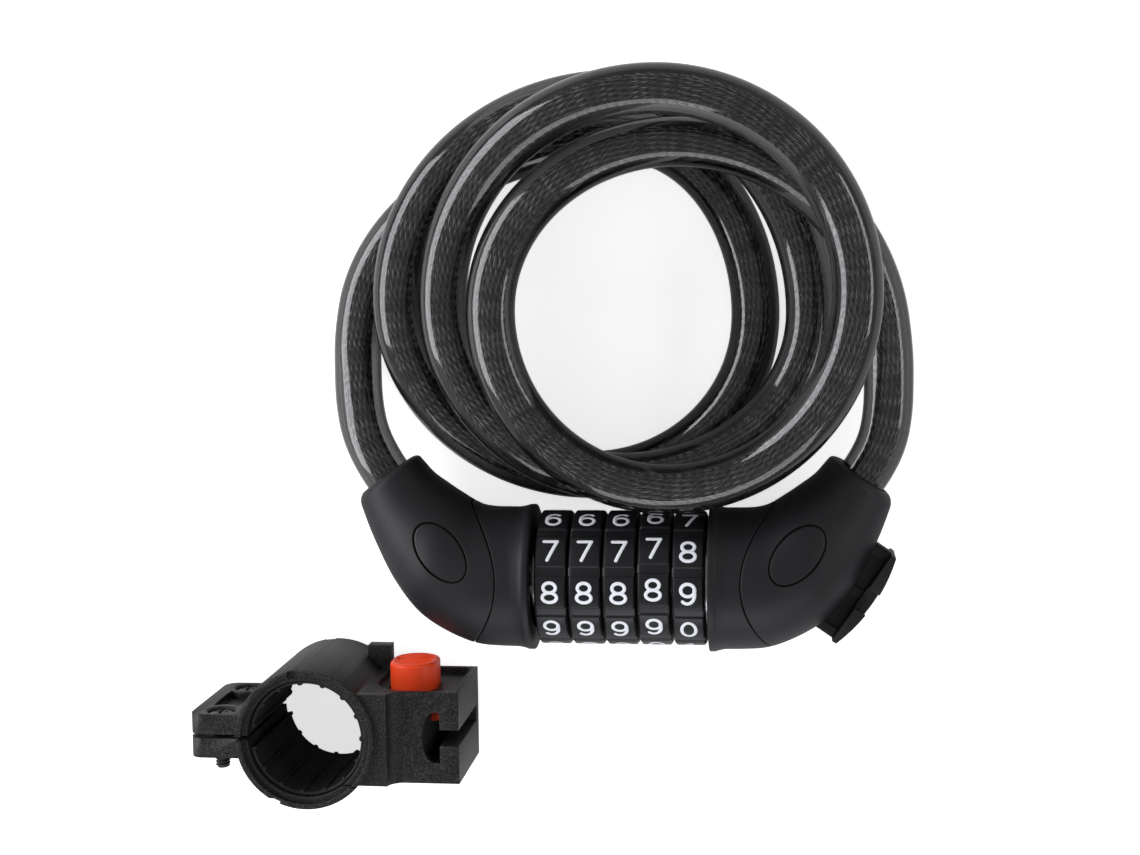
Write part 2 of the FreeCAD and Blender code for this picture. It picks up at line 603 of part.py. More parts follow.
def make_shell(face, side, front):
    """One elbow shell with its half of the spigot, its bosses and everything let into it."""
    loose = size("piece_clearance")
    half = half_space(front)
    spigot_radius = size("collar_radius") - size("collar_wall") - loose
    spigot_start = face + size("web") + size("tight_clearance")
    spigot_end = face + size("seam_bottom") + size("spigot_lap")
    spigot = shaft_solid(spigot_radius, spigot_start, spigot_end).common(half)
    hollow = half_cavity(face, front)
    shell = half_form(face, front).cut(dial_side(face, size("seam_gap"))).fuse(spigot).cut(hollow.cut(spigot))
    for place in screw_places(face):
        boss = Part.makeCylinder(size("boss_radius"), 2 * size(AXIS), place)
        shell = shell.fuse(boss.common(hollow))
    centre, direction = mouth_axis(face)
    deep = size("socket_depth")
    over = size("cut_over")
    socket_radius = size("cable_radius") + size("socket_clearance")
    socket = Part.makeCylinder(socket_radius, deep + 2 * over, centre - direction * deep, direction)
    nest_start = centre - direction * (deep + size("ferrule_length") + size("ferrule_gap") + loose)
    nest_length = size("ferrule_length") + 2 * over
    nest = Part.makeCylinder(size("ferrule_radius") + loose, nest_length, nest_start, direction)
    shell = shell.cut(socket).cut(nest).cut(spigot_pocket(face, side))
    low = size(AXIS) - size("screw_reach")
    for place in screw_places(face):
        hole = Vector(place.x, place.y, low)
        hole_radius = size("screw_radius") + size("tight_clearance")
        shell = shell.cut(Part.makeCylinder(hole_radius, 2 * size("screw_reach") + 2 * loose, hole))
        if not front:
            seat = Vector(place.x, place.y, -size(AXIS))
            shell = shell.cut(Part.makeCylinder(size("screw_head_radius") + loose, low + size(AXIS), seat))
    if side > 0:
        play = size("tongue_play")
        long = size("tongue_length") / 2 + play
        wide = size("tongue_stem_width") + 2 * play
        root = -size("tongue_root") - play
        shell = shell.cut(tongue_box(face, root, size("tongue_bed"), wide, -long, long))
    if front:
        deeper = end_form(face, -size("badge_depth") - size("tight_clearance"))
        post = badge_prism(face, size("badge_groove"))
        shell = shell.cut(end_form(face).common(post).cut(deeper))
    return shell


def make_end(side):
    """Collar, two elbow shells, badge, screws and ferrule of one end."""
    face = face_distance(side)
    outer = end_form(face)
    rim = shaft_solid(size("flange_radius"), face, face + size("flange_width"))
    bore_radius = size("collar_radius") - size("collar_wall")
    bore = shaft_solid(bore_radius, face + size("web"), face + 3 * size("seam_bottom"))
    web_hole = shaft_solid(size("web_bore"), face - size("cut_over"), face + size("web") + size("cut_over"))
    collar = outer.common(dial_side(face, 0.0)).fuse(rim).cut(bore).cut(web_hole)
    badge = outer.common(badge_prism(face, 0.0)).cut(end_form(face, -size("badge_depth")))
    centre, direction = mouth_axis(face)
    rope_end = size("socket_depth") + size("ferrule_length") + size("ferrule_gap")
    ferrule_start = centre - direction * rope_end
    ferrule = Part.makeCylinder(size("ferrule_radius"), size("ferrule_length"), ferrule_start, direction)
    hole_radius = size("rope_radius") + size("tight_clearance")
    hole_length = size("ferrule_length") + 2 * size("cut_over")
    hole_start = ferrule_start - direction * size("cut_over")
    rope_hole = Part.makeCylinder(hole_radius, hole_length, hole_start, direction)
    screws = Part.makeCompound([screw_at(place) for place in screw_places(face)])
    word = "right" if side > 0 else "left"
    made = {
        f"{word}_elbow_front": make_shell(face, side, True),
        f"{word}_elbow_back": make_shell(face, side, False),
        f"{word}_collar": collar,
        f"{word}_badge": badge,
        f"{word}_ferrule": ferrule.cut(rope_hole),
        f"{word}_elbow_screws": screws,
    }
    for node, shape in made.items():
        if side < 0:
            shape = shape.mirror(Vector(), Vector(1, 0, 0))
        piece(node, solid_feature(node.title().replace("_", ""), shape))


make_end(1)
make_end(-1)
piece("mounting_tongue", solid_feature("MountingTongue", make_tongue(face_distance(1))))


# The cable leaves the left mouth, winds three turns clockwise and ends in the right mouth.
# Each station is an outermost point of a turn: x, y and height of the cable's middle.
# Between two stations the cable follows a quarter of an ellipse.
STATIONS = [
    ("left", -69.3, 60.4, 6.6),
    ("top", -1.1, 109.6, 6.2),
    ("right", 32.8, 64.6, 6.2),
    ("bottom", -9.6, 23.9, 6.2),
    ("left", -56.5, 69.4, 19.8),
    ("top", -2.5, 119.7, 17.3),
    ("right", 46.5, 65.7, 11.7),
    ("bottom", 0.1, 25.0, 19.2),
    ("left", -44.1, 69.2, 24.4),
    ("top", 8.8, 119.7, 36.3),
    ("right", 57.4, 71.8, 38.8),
    ("bottom", 11.3, 23.7, 32.0),
    ("left", -31.2, 67.0, 30.7),
    ("top", 13.9, 107.6, 28.5),
    ("right", 64.9, 56.5, 18.8),
]
HEADING = {
    "left": Vector(0, 1, 0),
    "top": Vector(1, 0, 0),
    "right": Vector(0, -1, 0),
    "bottom": Vector(-1, 0, 0),
}


def biarc(start, start_way, end, end_way):
    """Two arcs of equal reach that leave start and meet end in the given directions."""
    chord = end - start
    both = start_way + end_way
    a = 2 * (1 - start_way.dot(end_way))
    b = 2 * chord.dot(both)
    reach = (-b + math.sqrt(b * b + 4 * a * chord.dot(chord))) / (2 * a)
    joint = (start + start_way * reach + end - end_way * reach) * 0.5
    edges = []
    for first, way, last in ((start, start_way, joint), (end, end_way * -1, joint)):
        span = last - first
        side = span - way * span.dot(way)
        side.normalize()
        radius = span.dot(span) / (2 * span.dot(side))
        centre = first + side * radius
        middle = (first - centre) + (last - centre)
        middle.normalize()
        edges.append((first, centre + middle * radius, last, radius))
    return edges


def cable_path():
    """The cable's middle line: a straight lead at each end and one biarc for each quarter turn."""
    left_mouth, left_way = mouth_axis(face_distance(-1))
    left_mouth = Vector(-left_mouth.x, left_mouth.y, left_mouth.z)
    left_way = Vector(-left_way.x, left_way.y, 0)
    right_mouth, right_way = mouth_axis(face_distance(1))
    depth = size("socket_depth")
    lead = size("cable_lead")
    points = [left_mouth + left_way * lead]
    ways = [left_way]
    for corner, x, y, height in STATIONS:
        points.append(Vector(x, y, height))
        ways.append(HEADING[corner])
    points.append(right_mouth + right_way * lead)
    ways.append(right_way * -1)
    arcs = []
    for start, way, end, end_way in zip(points, ways, points[1:], ways[1:]):
        first, second = biarc(start, way, end, end_way)
        arcs.append(first)
        arcs.append((second[2], second[1], second[0], second[3]))
    return left_mouth - left_way * depth, points[0], arcs, points[-1], right_mouth - right_way * depth


def wire_of(start, first, arcs, last, end):
    edges = [Part.makeLine(start, first)]
    for a, middle, b, _ in arcs:
        edges.append(Part.Arc(a, middle, b).toShape())
    edges.append(Part.makeLine(last, end))
    return Part.Wire(edges)


def sweep(path, radius, start, way):
    """A round tube along a path, as a pipe shell closed at both ends."""
    shell = Part.BRepOffsetAPI.MakePipeShell(path)
    shell.add(Part.Wire(Part.makeCircle(radius, start, way)))
    shell.build()
    shell.makeSolid()
    return shell.shape()


def least_gap(path, diameter, step):
    """Least gap between turns: points nearer along the cable than 2.5 diameters are skipped."""
    count = int(path.Length / step)
    points = path.discretize(Number=count)
    skip = int(2.5 * diameter / step)
    best = path.Length
    for i in range(0, count):
        for j in range(i + skip, count):
            best = min(best, (points[i] - points[j]).Length)
    return best - diameter


cable_start, cable_first, cable_arcs, cable_last, cable_end = cable_path()
cable_wire = wire_of(cable_start, cable_first, cable_arcs, cable_last, cable_end)
start_way = (cable_first - cable_start).normalize()
tube = sweep(cable_wire, size("cable_radius"), cable_start, start_way)
inside = sweep(cable_wire, size("rope_radius"), cable_start, start_way)
piece("cable_sleeve", solid_feature("CableSleeve", tube.cut(inside)))

rope_tail = size("ferrule_length") - size("rope_inset")
rope_start = cable_start - start_way * rope_tail
rope_end_way = (cable_last - cable_end).normalize()
rope_wire = wire_of(rope_start, cable_first, cable_arcs, cable_last, cable_end - rope_end_way * rope_tail)
rope = sweep(rope_wire, size("rope_radius") - size("tight_clearance"), rope_start, start_way)
piece("cable_core", solid_feature("CableCore", rope))

shown = cable_wire.Length - 2 * size("socket_depth")
section_area = math.pi * size("cable_radius") ** 2
print(f"cable between the mouths {shown:.0f} mm, in all {cable_wire.Length:.0f} mm")
print(f"tube volume over section times length {tube.Volume / (section_area * cable_wire.Length):.4f}")
print("arc radii", ", ".join(f"{arc[3]:.0f}" for arc in cable_arcs))
print(f"least gap between turns {least_gap(cable_wire, 2 * size('cable_radius'), 2.0):.2f} mm")


# Bracket, standing on the end of its bore. Reach is along +X, height along +Y.
def at(reach, height, along):
    """A place in the bracket: from the bore's axis along X and Y, and up the bore."""
    return (f"bracket_x + {reach}", f"bracket_y + {height}", along)


BLOCK_LOW = "((clamp_length - block_length) / 2)"
MIDDLE = "(clamp_length / 2)"
EAR_SIDES = ("ear_reach - clamp_bore - ear_lap", "ear_thick", "clamp_length - 2 * ear_inset")
WIDE = "(2 * ear_reach)"
SLOT_START = "(block_reach - lip - slot_depth)"
SLOT_LENGTH = "(clamp_length - slot_floor)"
POCKET_FLOOR = "(block_half - button_sunk - button_travel - button_floor)"


def clamp_ring(name):
    return cylinder(name, "clamp_radius", "clamp_length", at("0", "0", "0"))


def clamp_hole(name):
    return cylinder(name, "clamp_bore", "clamp_length + 2 * cut_over", at("0", "0", "-cut_over"))


def screw_holes(name, radius, height, depth):
    """Two holes across the ears, one for each clamp screw."""
    holes = []
    for number, sign in ((1, "-"), (2, "+")):
        place = at("-clamp_screw_reach", height, f"{MIDDLE} {sign} clamp_screw_spacing / 2")
        holes.append(cylinder(f"{name}{number}", radius, depth, place, ACROSS))
    return holes


def stadium(name, grow, low, height):
    """The button's outline: two round ends joined by a straight middle, raised along Y."""
    ends = []
    for number, sign in ((1, "-"), (2, "+")):
        place = at("button_reach", low, f"{MIDDLE} {sign} button_straight / 2")
        ends.append(cylinder(f"{name}End{number}", f"button_radius + {grow}", height, place, ACROSS))
    width = f"(2 * (button_radius + {grow}))"
    middle = box(f"{name}Middle", (width, height, "button_straight"),
                 at(f"button_reach - {width} / 2", low, f"{MIDDLE} - button_straight / 2"))
    return fuse(name, *ends, middle)


upper_ear = box("UpperEar", EAR_SIDES, at("-ear_reach", "split_gap / 2", "ear_inset"))
lower_ear = box("LowerEar", EAR_SIDES, at("-ear_reach", "-split_gap / 2 - ear_thick", "ear_inset"))
block = box("SlotBlock", ("block_reach - clamp_bore + block_lap", "2 * block_half", "block_length"),
            at("clamp_bore - block_lap", "-block_half", BLOCK_LOW))
nub = box("BlockNub", ("nub_width", "clamp_radius - block_half + cut_over", "nub_length"),
          at("clamp_bore - nub_back", "block_half - cut_over", f"{BLOCK_LOW} - nub_drop"))
upper_blank = fuse("UpperBlank", clamp_ring("UpperRing"), upper_ear, block, nub)
SPLIT_SIDES = (WIDE, WIDE, "clamp_length + 2 * cut_over")
open_left = box("UpperOpenLeft", SPLIT_SIDES, at(f"-{WIDE}", f"split_gap / 2 - {WIDE}", "-cut_over"))
open_right = box("UpperOpenRight", SPLIT_SIDES, at("0", f"-block_half - {WIDE}", "-cut_over"))
slot_room = box("SlotRoom", ("slot_depth", "slot_width", SLOT_LENGTH),
                at(SLOT_START, "-slot_width / 2", f"{BLOCK_LOW} + slot_floor"))
slot_mouth = box("SlotMouth", ("lip + cut_over", "mouth_width", SLOT_LENGTH),
                 at("block_reach - lip - cut_over / 2", "-mouth_width / 2", f"{BLOCK_LOW} + slot_floor"))
button_room = stadium("ButtonRoom", "button_clearance", POCKET_FLOOR, "clamp_radius")
LEG_START = f"({SLOT_START} - leg_thick)"
LEG_SIDES = ("leg_thick + button_clearance + cut_over / 2", "leg_length + button_travel + leg_room",
             "leg_width + 2 * button_clearance")
leg_hole = box("LegRoom", LEG_SIDES,
               at(f"{LEG_START} - button_clearance",
                  "block_half - button_sunk - leg_length - button_travel - leg_room / 3",
                  f"{MIDDLE} - leg_width / 2 - button_clearance"))
SPRING_REACH = "(button_reach - button_spring_back)"
SPRING_LOW = "(block_half - button_sunk - button_spring_length)"
spring_room = cylinder("SpringRoom", "button_spring_radius + button_spring_wire + button_spring_room",
                       "button_spring_length", at(SPRING_REACH, f"{SPRING_LOW} - stack_play", MIDDLE), ACROSS)
RECESS_SIDES = ("recess_width", "recess_depth + cut_over", "clamp_screw_spacing - 4 * clamp_head_radius")
ear_recess = box("EarRecess", RECESS_SIDES,
                 at("-clamp_screw_reach - recess_width / 2", "split_gap / 2 + ear_thick - recess_depth",
                    f"{MIDDLE} - clamp_screw_spacing / 2 + 2 * clamp_head_radius"))
upper_holes = screw_holes("UpperHole", "clamp_screw_radius + piece_clearance", "0", "2 * ear_thick")
head_seats = screw_holes("HeadSeat", "clamp_head_radius + piece_clearance",
                         "split_gap / 2 + ear_thick - clamp_head_width", "clamp_head_width + cut_over")
upper_cuts = [clamp_hole("UpperBore"), open_left, open_right, slot_room, slot_mouth, button_room, leg_hole,
              spring_room, ear_recess]
piece("clamp_upper", cut("ClampUpper", upper_blank, *upper_cuts, *upper_holes, *head_seats))

lower_blank = fuse("LowerBlank", clamp_ring("LowerRing"), lower_ear)
shut_left = box("LowerShutLeft", SPLIT_SIDES, at(f"-{WIDE}", "-split_gap / 2", "-cut_over"))
shut_right = box("LowerShutRight", SPLIT_SIDES, at("0", "-block_half - seam_gap", "-cut_over"))
lower_holes = screw_holes("LowerHole", "clamp_screw_radius + piece_clearance", "-2 * ear_thick",
                          "2 * ear_thick")


def hexagons(name, grow, low, width):
    """Two six-sided prisms across the lower ear, round the screws."""
    made = []
    for number, sign in ((1, "-"), (2, "+")):
        prism = doc.addObject("Part::Prism", f"{name}{number}")
        prism.Polygon = 6
        bind(prism, Circumradius=f"nut_radius + {grow}", Height=width)
        put(prism, at("-clamp_screw_reach", low, f"{MIDDLE} {sign} clamp_screw_spacing / 2"), ACROSS)
        made.append(prism)
    return made


NUT_LOW = "(-split_gap / 2 - ear_thick)"
nut_seats = hexagons("NutSeat", "piece_clearance", f"{NUT_LOW} - cut_over", "nut_width + cut_over")
lower_cuts = [clamp_hole("LowerBore"), shut_left, shut_right, *lower_holes, *nut_seats]
piece("clamp_lower", cut("ClampLower", lower_blank, *lower_cuts))

screw_length = "(split_gap + 2 * ear_thick + clamp_tip - clamp_head_width)"
screw_low = "(-split_gap / 2 - ear_thick - clamp_tip)"
shafts = screw_holes("ClampShaft", "clamp_screw_radius", screw_low, screw_length)
heads = screw_holes("ClampHead", "clamp_head_radius", "split_gap / 2 + ear_thick - clamp_head_width",
                    "clamp_head_width - stack_play")
piece("clamp_screws", fuse("ClampScrews", *shafts, *heads))
nut_holes = screw_holes("NutHole", "clamp_screw_radius + fit_clearance", f"{NUT_LOW} - cut_over",
                        "nut_width + 2 * cut_over")
nut_bodies = fuse("NutBodies", *hexagons("Nut", "0", NUT_LOW, "nut_width - stack_play"))
piece("clamp_nuts", cut("ClampNuts", nut_bodies, *nut_holes))

liner_tube = cylinder("LinerTube", "clamp_bore - tight_clearance", "clamp_length", at("0", "0", "0"))
liner_hole = cylinder("LinerHole", "clamp_bore - liner_wall", "clamp_length + 2 * cut_over",
                      at("0", "0", "-cut_over"))
liner_slit = box("LinerSlit", ("clamp_bore + cut_over", "liner_slit", "clamp_length + 2 * cut_over"),
                 at("-clamp_bore - cut_over", "-liner_slit / 2", "-cut_over"))
piece("clamp_liner", cut("ClampLiner", liner_tube, liner_hole, liner_slit))

button_top = stadium("ButtonTop", "0", "block_half - button_sunk", "button_sunk + button_proud")
leg = box("ButtonLeg", ("leg_thick", "leg_length + cut_over", "leg_width"),
          at(LEG_START, "block_half - button_sunk - leg_length", f"{MIDDLE} - leg_width / 2"))
catch = box("ButtonCatch", ("catch_reach + cut_over", "catch_height", "leg_width"),
            at(f"{SLOT_START} - cut_over", "block_half - button_sunk - leg_length",
               f"{MIDDLE} - leg_width / 2"))
piece("release_button", fuse("ReleaseButton", button_top, leg, catch))


def make_button_spring():
    """A round wire wound in half turns, each a biarc along the helix."""
    radius = size("button_spring_radius")
    wire = size("button_spring_wire")
    turns = int(size("spring_turns"))
    length = size("button_spring_length") - 2 * wire - 2 * size("stack_play")
    rise = length / turns
    spring_low = size("block_half") - size("button_sunk") - size("button_spring_length")
    centre = Vector(size("bracket_x") + size("button_reach") - size("button_spring_back"),
                    size("bracket_y") + spring_low + wire + size("stack_play"), size("clamp_length") / 2)
    edges = []
    places = []
    for step in range(2 * turns + 1):
        angle = math.pi * step
        place = centre + Vector(radius * math.cos(angle), rise * step / 2, radius * math.sin(angle))
        way = Vector(-radius * math.sin(angle), rise / (2 * math.pi), radius * math.cos(angle))
        places.append((place, way.normalize()))
    for (start, way), (end, end_way) in zip(places, places[1:]):
        first, second = biarc(start, way, end, end_way)
        edges.append(Part.Arc(first[0], first[1], first[2]).toShape())
        edges.append(Part.Arc(second[2], second[1], second[0]).toShape())
    return sweep(Part.Wire(edges), wire, places[0][0], places[0][1])


piece("button_spring", solid_feature("ButtonSpring", make_button_spring()))

doc.recompute()
for item in doc.Objects:
    if "Invalid" in item.State or "Error" in item.State:
        raise RuntimeError(f"{item.Label} could not be computed")
for item in pieces:
    if item.Shape.isNull() or not item.Shape.isValid() or not item.Shape.Solids:
        raise RuntimeError(f"{item.Label} is not a valid solid")

os.makedirs("parts", exist_ok=True)
for item in pieces:
    item.Shape.exportStep(f"parts/{item.Label}.step")
    print(f"{item.Label}: {len(item.Shape.Solids)} solid(s), {item.Shape.Volume:.0f} mm3")
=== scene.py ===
import math

import bmesh
import bpy
import numpy as np
from bpy.props import FloatProperty, FloatVectorProperty, IntProperty, PointerProperty
from mathutils import Matrix, Vector


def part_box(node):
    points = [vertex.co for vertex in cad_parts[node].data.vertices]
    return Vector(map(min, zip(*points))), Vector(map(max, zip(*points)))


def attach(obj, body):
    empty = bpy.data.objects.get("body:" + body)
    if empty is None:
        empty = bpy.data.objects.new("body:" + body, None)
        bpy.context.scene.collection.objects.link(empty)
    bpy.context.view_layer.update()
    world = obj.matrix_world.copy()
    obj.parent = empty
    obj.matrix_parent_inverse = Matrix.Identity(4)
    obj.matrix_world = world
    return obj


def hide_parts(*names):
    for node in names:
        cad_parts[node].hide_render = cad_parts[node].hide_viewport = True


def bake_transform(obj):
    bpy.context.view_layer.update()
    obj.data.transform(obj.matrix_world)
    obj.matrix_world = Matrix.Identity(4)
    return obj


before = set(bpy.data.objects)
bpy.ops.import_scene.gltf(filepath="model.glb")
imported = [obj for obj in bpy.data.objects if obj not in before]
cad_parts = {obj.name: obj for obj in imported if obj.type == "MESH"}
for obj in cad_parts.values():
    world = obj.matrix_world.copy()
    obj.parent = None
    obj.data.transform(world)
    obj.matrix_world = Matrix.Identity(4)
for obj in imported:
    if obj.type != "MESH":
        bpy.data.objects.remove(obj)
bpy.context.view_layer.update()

bl_info = {
    "name": "Coiled Cable Lock",
    "version": (1, 0, 0),
    "blender": (4, 5, 0),
    "location": "3D View > Sidebar > Cable Lock",
    "description": "Dresses the coiled cable lock with five number dials and its bar bracket",
    "category": "Object",
}

MM = 0.001
AXIS = 18.2 * MM
RIGHT_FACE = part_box("right_collar")[0].x
LEFT_FACE = -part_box("left_collar")[1].x
DIALS = 5
DIGITS = 10


def mm(*values):
    """Millimetres as an array in metres."""
    return np.array(values, float) * MM


# Meshes from arrays


def grid_faces(rows, columns, wrap_rows=False, hole=None):
    """Four corners of every cell of a grid of closed rows of points; a hole leaves out a block of cells."""
    row = np.arange(rows if wrap_rows else rows - 1)[:, None]
    column = np.arange(columns)[None, :]
    next_row = (row + 1) % rows
    next_column = (column + 1) % columns
    corners = [row * columns + column, row * columns + next_column,
               next_row * columns + next_column, next_row * columns + column]
    cells = np.stack(np.broadcast_arrays(*corners), -1)
    kept = np.ones(cells.shape[:2], bool)
    if hole:
        kept[hole[0]:hole[1], hole[2]:hole[3]] = False
    return cells[kept].tolist()


def end_faces(rows, columns):
    """The faces that close the first and the last row of a grid."""
    return [list(range(columns)), list(range((rows - 1) * columns, rows * columns))]


def tube_form(points, wrap_rows=False):
    """Points and faces of a grid of closed rings, with a flat face on each end ring unless it closes."""
    rows, columns = points.shape[:2]
    faces = grid_faces(rows, columns, wrap_rows)
    if not wrap_rows:
        faces += end_faces(rows, columns)
    return points.reshape(-1, 3), faces


def joined(forms):
    """Several forms, each points and faces, as one."""
    points = []
    faces = []
    first = 0
    for form_points, form_faces in forms:
        points.append(form_points)
        faces += [[corner + first for corner in face] for face in form_faces]
        first += len(form_points)
    return np.concatenate(points), faces


def link_mesh(name, mesh, material):
    """A new object of the scene with this mesh and one material."""
    item = bpy.data.objects.new(name, mesh)
    mesh.materials.clear()
    mesh.materials.append(material)
    bpy.context.scene.collection.objects.link(item)
    return item


def make_object(name, points, faces, material, sharp=35.0):
    """A mesh object at the origin with its faces outwards and smooth up to the sharp angle."""
    mesh = bpy.data.meshes.new(name)
    mesh.from_pydata(np.asarray(points).tolist(), [], faces)
    work = bmesh.new()
    work.from_mesh(mesh)
    bmesh.ops.recalc_face_normals(work, faces=work.faces)
    work.to_mesh(mesh)
    work.free()
    mesh.polygons.foreach_set("use_smooth", np.ones(len(mesh.polygons), bool))
    mesh.set_sharp_from_angle(angle=math.radians(sharp))
    return link_mesh(name, mesh, material)


def declare(item, body, replaced=()):
    """Rides a piece on its body and hides the solids that it stands for."""
    if body:
        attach(item, body)
    if replaced:
        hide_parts(*replaced)
    return item


def add_piece(name, form, material, body, replaced=(), sharp=35.0):
    return declare(make_object(name, form[0], form[1], material, sharp), body, replaced)


def solid_copy(name, node, material):
    """A copy of a solid's mesh with its loose triangles merged and its flat faces made whole."""
    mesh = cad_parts[node].data.copy()
    work = bmesh.new()
    work.from_mesh(mesh)
    bmesh.ops.remove_doubles(work, verts=work.verts, dist=MM / 1000)
    bmesh.ops.dissolve_limit(work, angle_limit=math.radians(0.5), verts=work.verts, edges=work.edges)
    work.to_mesh(mesh)
    work.free()
    return link_mesh(name, mesh, material)


def carve(item, forms, operation="DIFFERENCE"):
    """Cuts closed forms out of a piece, or adds them to it, one after the other."""
    for form in forms:
        tool = make_object("tool", form[0], form[1], item.data.materials[0])
        change = item.modifiers.new("Carve", "BOOLEAN")
        change.operation = operation
        change.solver = "EXACT"
        change.object = tool
        graph = bpy.context.evaluated_depsgraph_get()
        item.data = bpy.data.meshes.new_from_object(item.evaluated_get(graph))
        item.modifiers.clear()
        bpy.data.objects.remove(tool)


def soften(item, width, sharp=30.0):
    """Rounds the sharp edges of a carved piece with a bevel."""
    work = bmesh.new()
    work.from_mesh(item.data)
    bmesh.ops.remove_doubles(work, verts=work.verts, dist=MM / 200)
    work.to_mesh(item.data)
    work.free()
    item.data.polygons.foreach_set("use_smooth", np.ones(len(item.data.polygons), bool))
    bevel = item.modifiers.new("Edges", "BEVEL")
    bevel.width = width
    bevel.segments = 2
    bevel.limit_method = "ANGLE"
    bevel.angle_limit = math.radians(sharp)
    bevel.harden_normals = True


def prism(outline, low, high, upright=True):
    """An outline carried from low to high along Z, or, with the outline in X and Z, along Y."""
    outline = np.asarray(outline, float)
    points = np.array([np.column_stack([outline, np.full(len(outline), level)]) for level in (low, high)])
    return tube_form(points if upright else points[..., [0, 2, 1]])


def block(low, high):
    """A box between two corners."""
    outline = [(low[0], low[1]), (high[0], low[1]), (high[0], high[1]), (low[0], high[1])]
    return prism(outline, low[2], high[2])


def stacked(*parts):
    """Places from their parts, each an array or a value, stretched to one shape."""
    return np.stack(np.broadcast_arrays(*parts), -1)


def turned(profile, centre, sides=48, upright=True):
    """Rings of the profile's radii at its heights along Z, or along Y, round a centre."""
    angle = np.arange(sides) * 2 * math.pi / sides
    radius, height = np.array(profile).T[..., None]
    points = stacked(radius * np.cos(angle), radius * np.sin(angle), height)
    return tube_form((points if upright else points[..., [0, 2, 1]]) + np.asarray(centre))


def placed(form, x, y, z, side=1):
    """A form in millimetres moved to its place in metres; side -1 mirrors it in X."""
    points = np.asarray(form[0]) * MM + np.array([x, y, z])
    return points * np.array([side, 1, 1]), form[1]


# Materials


def fill(tree, node, inputs):
    """Sets sockets of a node by name or place: an output of another node is linked, a value is set."""
    for label, value in inputs.items():
        if isinstance(value, bpy.types.NodeSocket):
            tree.links.new(value, node.inputs[label])
        else:
            node.inputs[label].default_value = value


def add_node(tree, kind, output, inputs, **settings):
    """Adds a shader node with its settings, fills its sockets and gives back one of its outputs."""
    node = tree.nodes.new("ShaderNode" + kind)
    for label, value in settings.items():
        setattr(node, label, value)
    fill(tree, node, inputs)
    return node.outputs[output]


def calculate(tree, operation, *values):
    """Result of a Math node for values and outputs of other nodes."""
    return add_node(tree, "Math", 0, dict(enumerate(values)), operation=operation)


def noise(tree, place, scale, detail=2.0):
    """A slow or fine noise, from 0 to 1."""
    return add_node(tree, "TexNoise", "Fac", {"Vector": place, "Scale": scale, "Detail": detail})


def map_range(tree, value, low, high, new_low=0.0, new_high=1.0):
    """Carries a value from between low and high to between two others, and holds it there."""
    return add_node(tree, "MapRange", "Result", {"Value": value, "From Min": low, "From Max": high,
                                                 "To Min": new_low, "To Max": new_high})


def mix_colours(tree, factor, first, second):
    """The first colour where the factor is 0, the second where it is 1."""
    return add_node(tree, "Mix", "Result", {"Factor": factor, "A": first, "B": second}, data_type="RGBA")


def opaque(colour, share=1.0):
    """A colour, or a darker share of it, with full alpha."""
    return tuple(share * value for value in colour) + (1.0,)


def moulded_group():
    """Moulded surface: fine grain, softened edges, slow changes of gloss and tone, and painted glints, which
    are specks of the grain lifted in the colour.
    """
    name = "Moulded Surface"
    if name in bpy.data.node_groups:
        return bpy.data.node_groups[name]
    group = bpy.data.node_groups.new(name, "ShaderNodeTree")
    values = {"Color": (0.02, 0.02, 0.022, 1.0), "Roughness": 0.45, "Grain Scale": 2500.0, "Grain Depth": 0.2,
              "Gloss Change": 0.06, "Tone Change": 0.15, "Edge Radius": 0.3 * MM, "Sparkle": 0.0}
    for label, value in values.items():
        kind = "NodeSocketColor" if label == "Color" else "NodeSocketFloat"
        group.interface.new_socket(label, in_out="INPUT", socket_type=kind).default_value = value
    for label, kind in (("Color", "Color"), ("Roughness", "Float"), ("Normal", "Vector")):
        group.interface.new_socket(label, in_out="OUTPUT", socket_type="NodeSocket" + kind)
    given = group.nodes.new("NodeGroupInput").outputs
    place = add_node(group, "TexCoord", "Object", {})
    grain = noise(group, place, given["Grain Scale"], 3.0)
    edge = add_node(group, "Bevel", "Normal", {"Radius": given["Edge Radius"]}, samples=4)
    bump = add_node(group, "Bump", "Normal", {"Height": grain, "Strength": given["Grain Depth"],
                                              "Distance": 0.1 * MM, "Normal": edge})
    change = calculate(group, "SUBTRACT", noise(group, place, 90.0, 4.0), 0.5)
    gloss = calculate(group, "MULTIPLY_ADD", change, given["Gloss Change"], given["Roughness"])
    # Painted glints: where the fine grain is high, the colour is lifted by up to the share given for the
    # glints.
    glint_speck = map_range(group, grain, 0.48, 0.7, 0.0, given["Sparkle"])
    tone = calculate(group, "MULTIPLY_ADD", change, given["Tone Change"], glint_speck)
    lift = calculate(group, "ADD", tone, 1.0)
    shade = add_node(group, "VectorMath", 0, {0: given["Color"], "Scale": lift}, operation="SCALE")
    fill(group, group.nodes.new("NodeGroupOutput"), {"Color": shade, "Roughness": gloss, "Normal": bump})
    return group


def new_material(name):
    """A material with a Principled BSDF, and its node tree and shader."""
    material = bpy.data.materials.new(name)
    material.use_nodes = True
    return material, material.node_tree, material.node_tree.nodes["Principled BSDF"]


def moulded_material(name, colour, roughness, metallic=0.0, specular=0.27, **values):
    """A material whose colour, roughness and normal come from the moulded surface group."""
    material, tree, shader = new_material(name)
    surface = tree.nodes.new("ShaderNodeGroup")
    surface.node_tree = moulded_group()
    changes = {label.replace("_", " ").title(): value for label, value in values.items()}
    fill(tree, surface, {"Color": opaque(colour), "Roughness": roughness, **changes})
    fill(tree, shader, {"Base Color": surface.outputs["Color"], "Roughness": surface.outputs["Roughness"],
                        "Normal": surface.outputs["Normal"], "Metallic": metallic,
                        "Specular IOR Level": specular})
    return material


